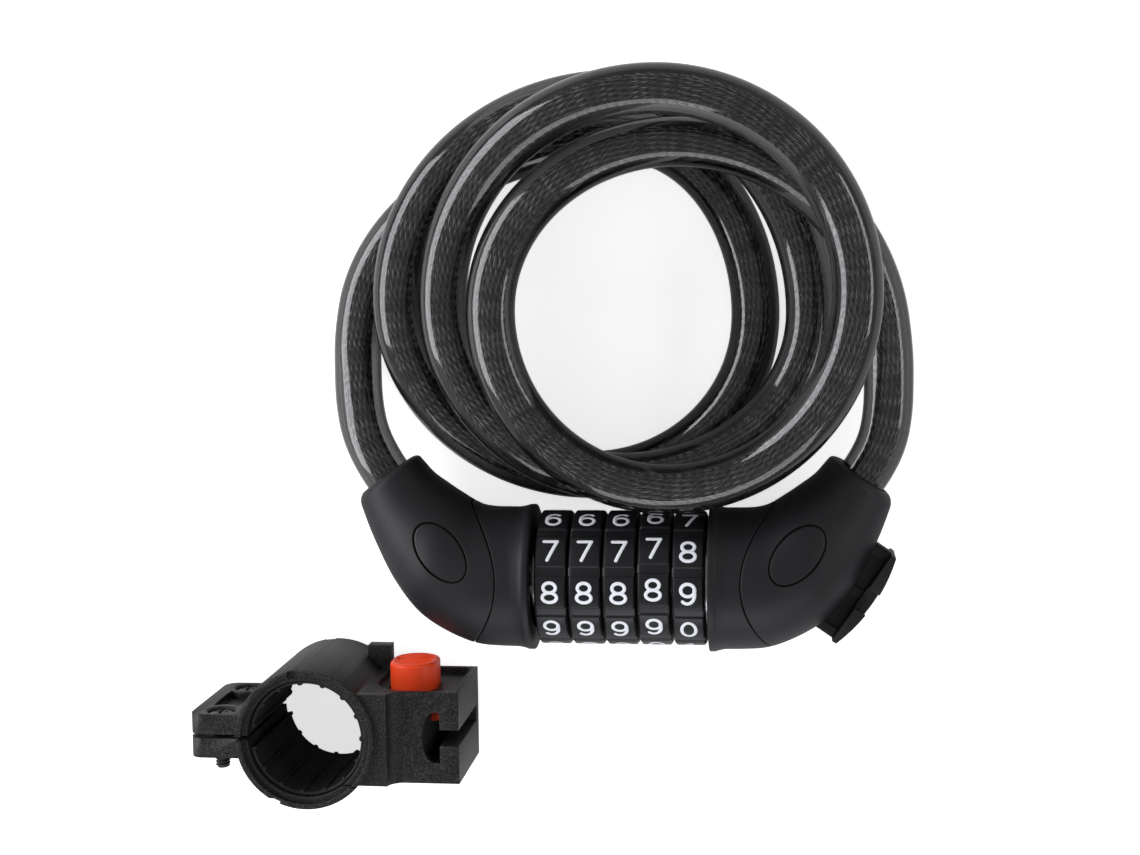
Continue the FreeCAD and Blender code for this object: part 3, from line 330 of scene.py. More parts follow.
def sleeve_material(colour):
    """Clear smoky vinyl: light bends through it to the rope inside, and its thick edges look darker."""
    material, tree, shader = new_material("Smoky Vinyl")
    slant = add_node(tree, "LayerWeight", "Facing", {"Blend": 0.5})
    smoke = mix_colours(tree, map_range(tree, slant, 0.2, 0.55), opaque(colour), opaque(colour, 0.035))
    slow = noise(tree, add_node(tree, "TexCoord", "Object", {}), 160.0)
    ripple = add_node(tree, "Bump", "Normal", {"Height": slow, "Strength": 0.03, "Distance": 0.2 * MM})
    fill(tree, shader, {"Base Color": smoke, "Transmission Weight": 1.0, "IOR": 1.36, "Coat Weight": 0.5,
                        "Coat Roughness": 0.08, "Roughness": map_range(tree, slow, 0.0, 1.0, 0.05, 0.1),
                        "Normal": ripple})
    return material


def rope_material(colour):
    """Dark oily steel strands whose fine wires run a little across a strand: the colour holds a painted
    highlight on the wire crests, in patches, and painted shade in the gaps between the wires.
    """
    material, tree, shader = new_material("Rope Steel")
    strand = add_node(tree, "UVMap", "UV", {}, uv_map="Strand")
    stretched = add_node(tree, "VectorMath", 0, {0: strand, 1: (0.3, 1.0, 1.0)}, operation="MULTIPLY")
    wires = add_node(tree, "TexWave", "Fac",
                     {"Vector": stretched, "Scale": 0.9, "Distortion": 2.0, "Detail Scale": 1.5},
                     wave_type="BANDS", bands_direction="DIAGONAL")
    # A slow noise in patches scales the painted highlight on the wire crests.
    highlight_patches = map_range(tree, noise(tree, stretched, 0.9), 0.38, 0.62, 0.15)
    crest_highlight = calculate(tree, "MULTIPLY", map_range(tree, wires, 0.55, 0.9), highlight_patches)
    bump = add_node(tree, "Bump", "Normal", {"Height": wires, "Strength": 0.7, "Distance": 0.1 * MM})
    # Colour: painted shade in the gaps between the wires at 3 % of the rope colour, and a painted highlight
    # of the full rope colour on the crests.
    fill(tree, shader, {"Base Color": mix_colours(tree, crest_highlight, opaque(colour, 0.03), opaque(colour)),
                        "Roughness": 0.35, "Normal": bump})
    return material


# The cable's route

MOUTH_ALONG = 37.5
MOUTH_RISE = 25.7
MOUTH_TILT = 54.0
SOCKET_DEPTH = 9.0
CABLE_LEAD = 3.0
QUARTER_POINTS = 6
END_POINTS = 4
# Outermost points of the turns: x, y and height of the cable's middle, in millimetres.
STATIONS = [
    ("left", -69.3, 60.4, 6.6),
    ("top", -1.1, 109.6, 6.2),
    ("right", 32.8, 64.6, 6.2),
    ("bottom", -9.6, 23.9, 6.2),
    ("left", -56.5, 69.4, 19.8),
    ("top", -2.5, 119.7, 17.3),
    ("right", 46.5, 65.7, 11.7),
    ("bottom", 0.1, 25.0, 19.2),
    ("left", -44.1, 69.2, 24.4),
    ("top", 8.8, 119.7, 36.3),
    ("right", 57.4, 71.8, 38.8),
    ("bottom", 11.3, 23.7, 32.0),
    ("left", -31.2, 67.0, 30.7),
    ("top", 13.9, 107.6, 28.5),
    ("right", 64.9, 56.5, 18.8),
]
HEADING = {"left": (0, 1, 0), "top": (1, 0, 0), "right": (0, -1, 0), "bottom": (-1, 0, 0)}


def mouth(side):
    """Middle of an elbow's mouth and the way in which the cable leaves it; side is 1 right, -1 left."""
    face = RIGHT_FACE if side > 0 else LEFT_FACE
    turn = math.radians(MOUTH_TILT)
    middle = np.array([side * (face + MOUTH_ALONG * MM), MOUTH_RISE * MM, AXIS])
    return middle, np.array([side * math.cos(turn), math.sin(turn), 0.0])


def bend(start, start_way, end, end_way, count):
    """Cubic curve from start to end that leaves and arrives in the given directions (Hermite form)."""
    step = np.arange(1, count)[:, None] / count
    reach = np.linalg.norm(end - start)
    rise = 3 * step ** 2 - 2 * step ** 3
    return (start * (1 - rise) + end * rise + reach * start_way * (step ** 3 - 2 * step ** 2 + step)
            + reach * end_way * (step ** 3 - step ** 2))


def quarter(corner, start, end):
    """Quarter of an ellipse between two stations, in plan; its height eases from one to the other."""
    step = np.arange(1, QUARTER_POINTS + 1) / QUARTER_POINTS
    turn = step * math.pi / 2
    far = 1 - np.cos(turn)
    near = np.sin(turn)
    across, along = (far, near) if corner in ("left", "right") else (near, far)
    ease = (1 - np.cos(math.pi * step)) / 2
    return start + (end - start) * np.stack([across, along, ease], -1)


def route_points():
    """Control points of the cable from inside the left mouth, round its turns, into the right mouth."""
    left, left_way = mouth(-1)
    right, right_way = mouth(1)
    places = [mm(*entry[1:]) for entry in STATIONS]
    corners = [entry[0] for entry in STATIONS]
    first = left + left_way * CABLE_LEAD * MM
    last = right + right_way * CABLE_LEAD * MM
    points = [left - left_way * SOCKET_DEPTH * MM, left - left_way * CABLE_LEAD * MM, first]
    points += list(bend(first, left_way, places[0], np.array(HEADING[corners[0]]), END_POINTS))
    points.append(places[0])
    for corner, start, end in zip(corners, places, places[1:]):
        points += list(quarter(corner, start, end))
    points += list(bend(places[-1], np.array(HEADING[corners[-1]]), last, -right_way, END_POINTS))
    points += [last, right - right_way * CABLE_LEAD * MM, right - right_way * SOCKET_DEPTH * MM]
    return points


def route_line():
    """The smooth line of the cable: the points of a NURBS curve along its route."""
    curve = bpy.data.curves.new("Route", "CURVE")
    curve.dimensions = "3D"
    spline = curve.splines.new("NURBS")
    points = route_points()
    spline.points.add(len(points) - 1)
    for point, place in zip(spline.points, points):
        point.co = (*place, 1.0)
    spline.order_u = 3
    spline.use_endpoint_u = True
    spline.resolution_u = 12
    item = bpy.data.objects.new("Route", curve)
    bpy.context.scene.collection.objects.link(item)
    bpy.context.view_layer.update()
    mesh = bpy.data.meshes.new_from_object(item)
    line = np.zeros(len(mesh.vertices) * 3)
    mesh.vertices.foreach_get("co", line)
    bpy.data.objects.remove(item)
    bpy.data.curves.remove(curve)
    bpy.data.meshes.remove(mesh)
    return line.reshape(-1, 3)


def even_line(line, step):
    """The line with evenly spaced points, and the distance of each along it."""
    run = np.concatenate([[0], np.cumsum(np.linalg.norm(np.diff(line, axis=0), axis=1))])
    along = np.linspace(0, run[-1], int(run[-1] / step) + 1)
    return np.stack([np.interp(along, run, line[:, k]) for k in range(3)], -1), along


def line_frames(line):
    """Unit vectors up and left of the line's travel at each of its points."""
    way = np.gradient(line, axis=0)
    way /= np.linalg.norm(way, axis=1, keepdims=True)
    up = np.array([0, 0, 1.0]) - way * way[:, 2:]
    up /= np.linalg.norm(up, axis=1, keepdims=True)
    return up, np.cross(up, way)


def round_tube(line, radius, sides):
    """Rings of points round a line: at each angle, the line plus radius times the turned unit vector."""
    up, left = line_frames(line)
    angle = (np.arange(sides) * 2 * math.pi / sides)[:, None]
    ring = up[:, None] * np.cos(angle) + left[:, None] * np.sin(angle)
    return tube_form(line[:, None] + radius * ring)


def strand_line(line, along, reach, lay, phase):
    """A helix round the line: the unit vector turns once in each lay length."""
    up, left = line_frames(line)
    turn = (2 * math.pi * along / lay + phase)[:, None]
    return line + reach * (up * np.cos(turn) + left * np.sin(turn))


def strand_uv(item, rings, sides, along, radius):
    """UV map of the strands: distance along and distance round, both in strand diameters."""
    layer = item.data.uv_layers.new(name="Strand")
    corners = np.zeros(len(item.data.loops), int)
    item.data.loops.foreach_get("vertex_index", corners)
    ring = (corners // sides) % rings
    side = corners % sides
    places = np.stack([along[ring] / (2 * radius), side / sides * math.pi], -1)
    layer.data.foreach_set("uv", places.ravel())


# Elbows, in millimetres from the collar's face and from the axis

# Sections along the elbow: along, rise, radius and tilt in degrees.
SECTIONS = np.array([(0.0, 0.0, 17.5, 0.0), (7.65, 0.0, 17.5, 0.0), (15.2, 1.0, 17.4, 4.0),
                     (23.5, 5.5, 16.5, 15.0), (28.8, 10.9, 14.3, 26.0), (33.2, 17.2, 11.75, 36.0),
                     (MOUTH_ALONG, MOUTH_RISE, 9.1, MOUTH_TILT)])
LAST = len(SECTIONS) - 1
SEAM_TOP = 14.3
SEAM_MIDDLE = 7.8
SEAM_BOTTOM = 16.35
SEAM_GAP = 0.3
SEAM_ROUND = 0.12
SPLIT_GAP = 0.05
COLLAR_RADIUS = SECTIONS[0][2]
COLLAR_BORE = 12.7
# Along and radius of the collar's face and raised rim, and of the web inside it.
RIM_PROFILE = [(0.0, COLLAR_BORE), (0.0, 17.95), (0.07, 18.12), (0.25, 18.2), (1.5, 18.17), (1.6, 18.1),
               (2.4, 17.86), (3.2, 17.68), (4.0, 17.55)]
WEB_PROFILE = [(3.0, 14.9), (3.0, COLLAR_BORE)]
COLLAR_LIP = 2.6
ELBOW_WALL = 2.4
SPIGOT_RADIUS = 14.75
SPIGOT_START = 0.42
MOUTH_BORE = 6.25
MOUTH_ROUND = 1.9
# Section number at which the outside starts to round into the mouth.
OUTSIDE_END = LAST - 0.19
# The grid of a shell: its turns, the shares of its outside from the seam, and the section numbers of its
# inside from the mouth.
SHELL_TURNS = np.linspace(0, math.pi, 181)
OUTSIDE_SHARES = np.linspace(0, 1, 150)
INSIDE_NUMBERS = [5.7, 5.4, 5.0, 4.5, 4.0, 3.5, 3.0, 2.6]
BADGE_CENTRE = np.array([21.6, 8.4])
BADGE_HALF = np.array([8.15, 4.8])
BADGE_TURN = math.radians(47.5)
BADGE_ROUND = 0.15
BADGE_DEPTH = 1.0
POCKET_DEPTH = BADGE_DEPTH + 0.05
POCKET_GROOVE = 0.45
WINDOW_MARGIN = 1.2


def section(number):
    """Along, rise, radius and tilt at a section number: the cubic through the four nearest sections."""
    table = np.concatenate([2 * SECTIONS[:1] - SECTIONS[1:2], SECTIONS, 2 * SECTIONS[-1:] - SECTIONS[-2:-1]])
    whole = np.clip(np.floor(number).astype(int), 0, LAST - 1)
    part = (number - whole)[..., None]
    a, b, c, d = (table[whole + step] for step in range(4))
    row = b + part / 2 * (c - a + part * (2 * a - 5 * b + 4 * c - d + part * (3 * (b - c) + d - a)))
    along, rise, radius, tilt = np.moveaxis(row, -1, 0)
    return along, rise, radius, np.radians(tilt)


def elbow_point(number, turn, grow=0.0, bore=None):
    """A place on the elbow: the section's circle, tilted in plan; turn goes from its top over the front."""
    along, rise, radius, tilt = section(number)
    radius = radius + grow if bore is None else np.broadcast_to(bore, radius.shape)
    reach = radius * np.cos(turn)
    return np.stack([along - reach * np.sin(tilt), rise + reach * np.cos(tilt), radius * np.sin(turn)], -1)


def solve(low, high, excess):
    """Halves the interval again and again to find where the excess turns positive."""
    for _ in range(32):
        middle = (low + high) / 2
        past = excess(middle) > 0
        low = np.where(past, low, middle)
        high = np.where(past, middle, high)
    return middle


def seam_number(turn, shift):
    """Section number of the curved seam: along equals the parabola through its three places."""
    tilt = (SEAM_TOP - SEAM_BOTTOM) / (2 * COLLAR_RADIUS)
    bow = ((SEAM_TOP + SEAM_BOTTOM) / 2 - SEAM_MIDDLE) / COLLAR_RADIUS ** 2

    def excess(number):
        along, rise, _ = np.moveaxis(elbow_point(number, turn), -1, 0)
        return along - SEAM_MIDDLE - tilt * rise - bow * rise ** 2 - shift

    return solve(np.full(turn.shape, 0.5), np.full(turn.shape, 4.0), excess)


def elbow_lift(plan):
    """Section number, turn and place of the front surface over places in plan."""
    def excess(number):
        along, rise, _, tilt = section(number)
        return (along - plan[..., 0]) * np.cos(tilt) + (rise - plan[..., 1]) * np.sin(tilt)

    number = solve(np.full(plan.shape[:-1], 0.5), np.full(plan.shape[:-1], float(LAST)), excess)
    along, rise, radius, tilt = section(number)
    reach = (plan[..., 1] - rise) * np.cos(tilt) - (plan[..., 0] - along) * np.sin(tilt)
    turn = np.arccos((reach / radius).clip(-1, 1))
    return number, turn, np.concatenate([plan, (radius * np.sin(turn))[..., None]], -1)


def sunk(points, depth):
    """Points moved down by a depth."""
    return points - np.array([0, 0, depth])


def badge_outline(angle, grow=0.0, share=1.0):
    """The badge's oval in plan, turned by its slant, or a smaller share of it round the same centre."""
    x = (BADGE_HALF[0] + grow) * np.cos(angle)
    y = (BADGE_HALF[1] + grow) * np.sin(angle)
    return BADGE_CENTRE + share * np.stack([x * math.cos(BADGE_TURN) - y * math.sin(BADGE_TURN),
                                            x * math.sin(BADGE_TURN) + y * math.cos(BADGE_TURN)], -1)


def badge_angle(plan):
    """Angle on the oval of the ray from its centre through a place in plan."""
    off = plan - BADGE_CENTRE
    x = off[..., 0] * math.cos(BADGE_TURN) + off[..., 1] * math.sin(BADGE_TURN)
    y = off[..., 1] * math.cos(BADGE_TURN) - off[..., 0] * math.sin(BADGE_TURN)
    return np.arctan2(y / BADGE_HALF[1], x / BADGE_HALF[0])


def collar_form():
    """A ring: its rim and web are turned, and its outside follows the elbow up to the seam."""
    turn = np.radians(np.arange(0, 360, 1.5))[:, None]

    def shaft(profile):
        along, radius = np.array(profile).T
        return stacked(along, radius * np.cos(turn), radius * np.sin(turn))

    seam = seam_number(turn, 0.0)
    outside = elbow_point(seam * np.linspace(0.55, 1, 22), turn)
    outside[:, -1, 0] -= SEAM_ROUND
    lip = elbow_point(seam.repeat(3, 1), turn, np.array([-SEAM_ROUND, -0.5, -COLLAR_LIP]))
    stretches = [shaft(RIM_PROFILE), outside, lip, shaft(WEB_PROFILE)]
    return tube_form(np.concatenate(stretches, 1), wrap_rows=True)


def shell_grid():
    """Half an elbow shell: at each turn a profile runs from the seam out to the mouth, round it and back
    inside, then along the spigot that enters the collar."""
    turn = SHELL_TURNS[:, None]
    seam = seam_number(turn, SEAM_GAP)

    def stretch(numbers, grow=0.0, bore=None):
        return elbow_point(numbers * np.ones_like(seam), turn, grow, bore)

    rounding = np.radians(np.linspace(9, 90, 10))
    outside = elbow_point(seam + (OUTSIDE_END - seam) * OUTSIDE_SHARES, turn)
    outside[:, 0] = elbow_point(seam, turn, -SEAM_ROUND)[:, 0]
    grid = np.concatenate([
        outside,
        stretch(LAST - (LAST - OUTSIDE_END) * (1 - np.sin(rounding)), -MOUTH_ROUND * (1 - np.cos(rounding))),
        stretch(LAST - np.array([0, 0.03, 0.26]), bore=[MOUTH_BORE + 0.3, MOUTH_BORE, MOUTH_BORE]),
        stretch(INSIDE_NUMBERS, -ELBOW_WALL),
        stretch([SPIGOT_START, SPIGOT_START], bore=[SPIGOT_RADIUS - ELBOW_WALL, SPIGOT_RADIUS]),
        stretch(seam, bore=SPIGOT_RADIUS)], 1)
    return sunk(grid, -SPLIT_GAP)


def pocket_rings(border):
    """Rings from the window's border in to the badge's groove, down its wall and in over the floor."""
    angle = badge_angle(border)
    rim = badge_outline(angle, POCKET_GROOVE + 0.1)
    rings = [elbow_lift(border + (rim - border) * step)[2] for step in np.linspace(0, 1, 13)[1:]]
    wall = elbow_lift(badge_outline(angle, POCKET_GROOVE))[2]
    rings += [sunk(wall, depth) for depth in (0.1, 0.5, POCKET_DEPTH)]
    for share in (0.6, 0.2, 0.02):
        rings.append(sunk(elbow_lift(badge_outline(angle, share=share))[2], POCKET_DEPTH))
    return sunk(np.array(rings), -SPLIT_GAP)


def shell_form(windowed):
    """Half an elbow shell, whole or with the pocket for the badge.

    The pocket's window is a block of cells left out of the grid; rings fill it from its border inwards."""
    grid = shell_grid()
    if not windowed:
        return tube_form(grid)
    rows, columns = grid.shape[:2]
    number, turn, _ = elbow_lift(badge_outline(np.radians(np.arange(0, 360, 5)), WINDOW_MARGIN))
    seam = seam_number(turn, SEAM_GAP)
    share = (number - seam) / (OUTSIDE_END - seam)
    low_row, high_row = np.searchsorted(SHELL_TURNS, (turn.min(), turn.max())) - (1, 0)
    low_column, high_column = np.searchsorted(OUTSIDE_SHARES, (share.min(), share.max())) - (1, 0)
    faces = grid_faces(rows, columns, hole=(low_row, high_row, low_column, high_column))
    faces += end_faces(rows, columns)
    edge = [low_row * columns + k for k in range(low_column, high_column)]
    edge += [k * columns + high_column for k in range(low_row, high_row)]
    edge += [high_row * columns + k for k in range(high_column, low_column, -1)]
    edge += [k * columns + low_column for k in range(high_row, low_row, -1)]
    points = grid.reshape(-1, 3)
    rings = pocket_rings(points[edge][:, :2])
    ring = np.concatenate([[edge], len(points) + np.arange(rings[..., 0].size).reshape(len(rings), -1)])
    after = np.roll(ring, -1, 1)
    faces += np.stack([ring[:-1], after[:-1], after[1:], ring[1:]], -1).reshape(-1, 4).tolist()
    faces.append(ring[-1].tolist())
    return np.concatenate([points, rings.reshape(-1, 3)]), faces


def badge_form():
    """An oval plate: rings from near its centre to its rounded edge follow the elbow, then its underside."""
    angle = np.radians(np.arange(0, 360, 2.0))
    rings = [elbow_lift(badge_outline(angle, -BADGE_ROUND, share))[2] for share in np.linspace(0.02, 1, 26)]
    edge = elbow_lift(badge_outline(angle))[2]
    return tube_form(np.array(rings + [sunk(edge, 0.12), sunk(edge, BADGE_DEPTH)]))


# Digits, drawn as strokes in a box that reaches from -1 to 1 each way


def oval(x, y, width, height, start=0.0, end=360.0):
    """Points of an oval's outline between two angles in degrees from the right."""
    turn = np.radians(np.linspace(start, end, int(abs(end - start) / 9) + 2))
    if abs(end - start) == 360.0:
        turn = turn[:-1]
    return np.stack([x + width * np.cos(turn), y + height * np.sin(turn)], -1)


def straight(*corners):
    """A straight stroke between two corners."""
    return np.linspace(corners[:2], corners[2:], 8)


SIX = [oval(0, -0.38, 0.93, 0.62), oval(0.08, 0.0, 1.01, 1.0, 202.0, 52.0)]
STROKES = {
    0: [oval(0, 0, 0.95, 1)],
    1: [straight(-0.5, 0.6, 0.15, 1), straight(0.15, 1, 0.15, -1)],
    2: [oval(0, 0.42, 0.88, 0.58, 165.0, -35.0), straight(0.72, 0.09, -0.9, -1),
        straight(-0.9, -1, 0.95, -1)],
    3: [oval(0, 0.49, 0.8, 0.51, 150.0, -90.0), oval(0, -0.51, 0.93, 0.49, 90.0, -150.0)],
    4: [straight(0.35, 1, -0.95, -0.4), straight(-0.95, -0.4, 0.95, -0.4), straight(0.35, 1, 0.35, -1)],
    5: [straight(0.75, 1, -0.6, 1), straight(-0.6, 1, -0.72, 0.1),
        oval(0, -0.34, 0.93, 0.66, 135.0, -150.0)],
    6: SIX,
    7: [straight(-0.9, 1, 0.9, 1), straight(0.9, 1, -0.35, -1)],
    8: [oval(0, 0.5, 0.84, 0.5), oval(0, -0.5, 0.97, 0.5)],
    9: [-stroke for stroke in SIX],
}
PRINT_PROUD = 0.06 * MM
PRINT_SUNK = 0.1 * MM
CAP_TURNS = np.radians([20.0, 40.0, 60.0, 80.0])


def ribbon(points, half):
    """A printed stroke, flat: a domed ribbon along the points; an open one gets a round end.

    Across, the place goes from -half to half and the height follows a flattened half circle.
    Past an end, the ribbon's half width is half times the cosine of the cap's angle."""
    closed = np.linalg.norm(points[0] - points[-1]) < 3 * np.linalg.norm(points[0] - points[1])
    widths = np.full(len(points), half)
    if closed:
        way = np.roll(points, -1, 0) - np.roll(points, 1, 0)
    else:
        way = np.gradient(points, axis=0)
        ends = way[[0, -1]] / np.linalg.norm(way[[0, -1]], axis=1, keepdims=True)
        past = np.sin(CAP_TURNS)[:, None] * half
        points = np.concatenate([(points[0] - ends[0] * past)[::-1], points, points[-1] + ends[1] * past])
        cap = half * np.cos(CAP_TURNS)
        widths = np.concatenate([cap[::-1], widths, cap])
        before, after = np.repeat(ends[:, None], len(cap), 1)
        way = np.concatenate([before, way, after])
    way = way / np.linalg.norm(way, axis=1, keepdims=True)
    side = np.stack([-way[:, 1], way[:, 0]], -1)
    turn = np.radians(np.arange(180, -1, -30))
    across = np.concatenate([np.cos(turn), [1.0, -1.0]])
    height = np.concatenate([PRINT_PROUD * np.sqrt(np.sin(turn).clip(0)), [-PRINT_SUNK, -PRINT_SUNK]])
    flat = points[:, None] + side[:, None] * (widths[:, None] * across)[..., None]
    level = np.broadcast_to(height, flat.shape[:2])[..., None]
    return np.concatenate([flat, level], -1), closed


def wrapped(flat, middle, radius, turn):
    """Flat places (right, up, proud) bent round the dial axis; turn is measured from +Z towards -Y."""
    angle = turn - flat[..., 1] / radius
    reach = radius + flat[..., 2]
    return np.stack([middle + flat[..., 0], -reach * np.sin(angle), AXIS + reach * np.cos(angle)], -1)


# Settings


def length(label, description, value):
    """A length setting whose value is given in millimetres."""
    return FloatProperty(name=label, description=description, default=value * MM, unit="LENGTH")


def tint(label, description, value):
    """A colour setting."""
    return FloatVectorProperty(name=label, description=description, default=value, subtype="COLOR",
                               min=0, max=1)


class CableLockSizes(bpy.types.PropertyGroup):
    """Sizes of the visible pieces."""

    cable_radius: length("Sleeve radius", "Outside of the clear sleeve", 6.0)
    rope_radius: length("Rope radius", "Outside of the steel rope", 2.6)
    strand_count: IntProperty(name="Strands", description="Outer strands of the rope", default=12)
    lay_length: length("Lay length", "Cable length in which a strand goes once round", 36.0)
    dial_radius: length("Dial radius", "Outside of a number wheel", 16.65)
    dial_bore: length("Dial bore", "Inside of a number wheel", 8.5)
    dial_edge: length("Dial edge", "Bevel of a number wheel's rims", 0.6)
    groove_depth: length("Groove depth", "Grip grooves between two digits", 0.35)
    groove_width: length("Groove width", "Grip grooves between two digits", 2.8)
    digit_height: length("Digit height", "Between the middles of a digit's strokes", 4.9)
    digit_width: length("Digit width", "Between the middles of a digit's strokes", 3.6)
    digit_stroke: length("Digit stroke", "Width of a digit's strokes", 0.84)


class CableLockColours(bpy.types.PropertyGroup):
    """Colours of the finishes."""

    shell: tint("Elbows", "Satin black plastic of the elbows, collars and badges", (0.0095, 0.0095, 0.011))
    dial: tint("Dials", "Black plastic of the number wheels", (0.0095, 0.0095, 0.011))
    digit: tint("Digits", "White paint of the digits", (0.8, 0.82, 0.86))
    sleeve: tint("Sleeve", "Smoky clear vinyl", (0.22, 0.21, 0.205))
    # The rope colour is the colour of the painted highlight on the wire crests; the painted shade between the
    # wires is 3 % of it.
    rope: tint("Rope", "Worn steel of the rope", (0.9, 0.87, 0.85))
    tongue: tint("Tongue", "Dull black plastic of the tongue", (0.011, 0.011, 0.012))
    bracket: tint("Bracket", "Grained black plastic", (0.006, 0.006, 0.0062))
    liner: tint("Liner", "Black rubber of the bracket's liner", (0.01, 0.01, 0.01))
    button: tint("Button", "Red-orange plastic of the release button", (0.92, 0.07, 0.014))
    screw: tint("Bracket screws", "Blackened steel of the bracket's screws", (0.03, 0.03, 0.032))
    nut: tint("Bracket nuts", "Blackened steel of the bracket's nuts", (0.05, 0.05, 0.052))
    spring: tint("Spring", "Bright steel of the button's spring", (0.5, 0.5, 0.52))
    steel: tint("Plated steel", "Pin, washers, ferrules and elbow screws", (0.62, 0.62, 0.64))
    zinc: tint("Zinc", "Cast barrel and cam rings", (0.5, 0.5, 0.52))


# Operators


class CABLELOCK_OT_cable(bpy.types.Operator):
    """Clear sleeve and stranded steel rope along the coiled route"""

    bl_idname = "cable_lock.cable"
    bl_label = "Cable"

    line_step = 2.0 * MM
    sleeve_sides = 48
    strand_sides = 8
    # The strands are a little too thick for their ring, so that they touch.
    strand_overlap = 1.03
    ends = {"start": (0.0, 80 * MM, AXIS), "end": (-60 * MM, 26 * MM, AXIS)}

    def execute(self, context):
        sizes = context.scene.cable_lock_sizes
        colours = context.scene.cable_lock_colours
        line, along = even_line(route_line(), self.line_step)
        sleeve = add_piece("clear_sleeve", round_tube(line, sizes.cable_radius, self.sleeve_sides),
                           sleeve_material(colours.sleeve), None, ["cable_sleeve"])
        share = math.sin(math.pi / sizes.strand_count)
        radius = sizes.rope_radius * share / (1 + share)
        forms = []
        for number in range(sizes.strand_count):
            phase = 2 * math.pi * number / sizes.strand_count
            path = strand_line(line, along, sizes.rope_radius - radius, sizes.lay_length, phase)
            forms.append(round_tube(path, self.strand_overlap * radius, self.strand_sides))
        rope = add_piece("rope_strands", joined(forms), rope_material(colours.rope), None,
                         ["cable_core"], sharp=80.0)
        strand_uv(rope, len(line), self.strand_sides, along, radius)
        for item, diameter in ((sleeve, 2 * sizes.cable_radius), (rope, 2 * sizes.rope_radius)):
            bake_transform(item)
        return {"FINISHED"}


class CABLELOCK_OT_dials(bpy.types.Operator):
    """Five number wheels with grip grooves and printed digits"""

    bl_idname = "cable_lock.dials"
    bl_label = "Dials"

    # Turn of each wheel's digit 8 from straight up, in degrees towards the lock's underside.
    turns = (3.5, 3.5, 3.5, 0.3, -32.5)
    top_digit = 8
    rounding = 0.15 * MM

    def wheel_form(self, sizes, start, end, turn):
        """A ring of revolution: the outer radius dips by a smooth step where a groove runs.

        The dip is the depth times 3s^2 - 2s^3, where s rises from 0 at the groove's edge to 1 over a third
        of its half width. The profile goes from the bore over one rim, then back over the other; each
        place is its distance from the wheel's end, its radius and its share of the dip."""
        angle = np.radians(np.arange(0, 360, 0.5))[:, None]
        pitch = 2 * math.pi / DIGITS
        off = np.abs((angle - turn) % pitch - pitch / 2) * sizes.dial_radius
        half = sizes.groove_width / 2
        step = ((half - off) / (half / 3)).clip(0, 1)
        bore, edge, outer, soft = sizes.dial_bore, sizes.dial_edge, sizes.dial_radius, self.rounding
        rim = [(soft, bore, 0), (0, bore + soft, 0), (0, outer - edge - soft, 0),
               (0.3 * soft, outer - edge, 0), (edge - soft, outer - 0.5 * soft, 1), (edge + soft, outer, 1)]
        inset, radius, share = np.array(rim + rim[::-1]).T
        x = np.where(np.arange(len(inset)) < len(rim), start + inset, end - inset)
        radius = radius - share * sizes.groove_depth * (3 * step ** 2 - 2 * step ** 3)
        points = stacked(x, -radius * np.sin(angle), AXIS + radius * np.cos(angle))
        return tube_form(points, wrap_rows=True)

    def digit_forms(self, sizes, middle, turn):
        """All strokes of a wheel's ten digits, wrapped round it."""
        forms = []
        scale = np.array([sizes.digit_width / 2, sizes.digit_height / 2])
        for digit, strokes in STROKES.items():
            place = turn + (digit - self.top_digit) * 2 * math.pi / DIGITS
            for stroke in strokes:
                flat, closed = ribbon(stroke * scale, sizes.digit_stroke / 2)
                forms.append(tube_form(wrapped(flat, middle, sizes.dial_radius, place), closed))
        return joined(forms)

    def execute(self, context):
        sizes = context.scene.cable_lock_sizes
        colours = context.scene.cable_lock_colours
        plastic = moulded_material("Dial Plastic", colours.dial, 0.34, grain_scale=3200.0, grain_depth=0.06,
                                   gloss_change=0.12)
        paint = moulded_material("Digit Paint", colours.digit, 0.5, grain_scale=2600.0, grain_depth=0.12,
                                 tone_change=0.12)
        for number, turn in enumerate(np.radians(self.turns), 1):
            low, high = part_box(f"dial_{number}")
            add_piece(f"number_wheel_{number}", self.wheel_form(sizes, low.x, high.x, turn), plastic,
                      f"wheel_{number}", [f"dial_{number}"])
            add_piece(f"wheel_digits_{number}", self.digit_forms(sizes, (low.x + high.x) / 2, turn), paint,
                      f"wheel_{number}", sharp=50.0)
        return {"FINISHED"}


class CABLELOCK_OT_ends(bpy.types.Operator):
    """Collars, elbow shells and oval badges of both ends"""

    bl_idname = "cable_lock.ends"
    bl_label = "Ends"

    # The screws' places from the collar's face and the axis, and the radius and floor of their wells.
    screws = ((18.2, -8.6), (29.4, 2.0))
    well_radius = 2.75
    well_floor = -8.3
    well_mouth = -30.0

    def execute(self, context):
        colour = context.scene.cable_lock_colours.shell
        shell = moulded_material("Satin Elbow", colour, 0.5, grain_scale=2600.0, grain_depth=0.14)
        collar = moulded_material("Satin Collar", colour, 0.5, grain_scale=2600.0, grain_depth=0.12)
        badge = moulded_material("Satin Badge", colour, 0.46, grain_scale=2600.0, grain_depth=0.1)
        plan = (("collar_ring", collar_form(), collar, "collar_plastic", "collar"),
                ("front_cover", shell_form(True), shell, "elbow_plastic", "elbow_front"),
                ("oval_badge", badge_form(), badge, "badge_plastic", "badge"))
        points, faces = shell_form(False)
        back = points * np.array([1, 1, -1]), faces
        well = [(self.well_radius, self.well_mouth), (self.well_radius, self.well_floor)]
        wells = [turned(well, (*place, 0.0)) for place in self.screws]
        halves = (("right", 1, RIGHT_FACE, "code_head"), ("left", -1, LEFT_FACE, "pin_end"))
        for word, side, face, body in halves:
            for name, form, material, slot, node in plan:
                add_piece(f"{word}_{name}", placed(form, face, 0, AXIS, side), material, body,
                          [f"{word}_{node}"])
            item = make_object(f"{word}_back_cover", *placed(back, face, 0, AXIS, side), shell)
            carve(item, [placed(form, face, 0, AXIS, side) for form in wells])
            declare(item, body, [f"{word}_elbow_back"])
        return {"FINISHED"}


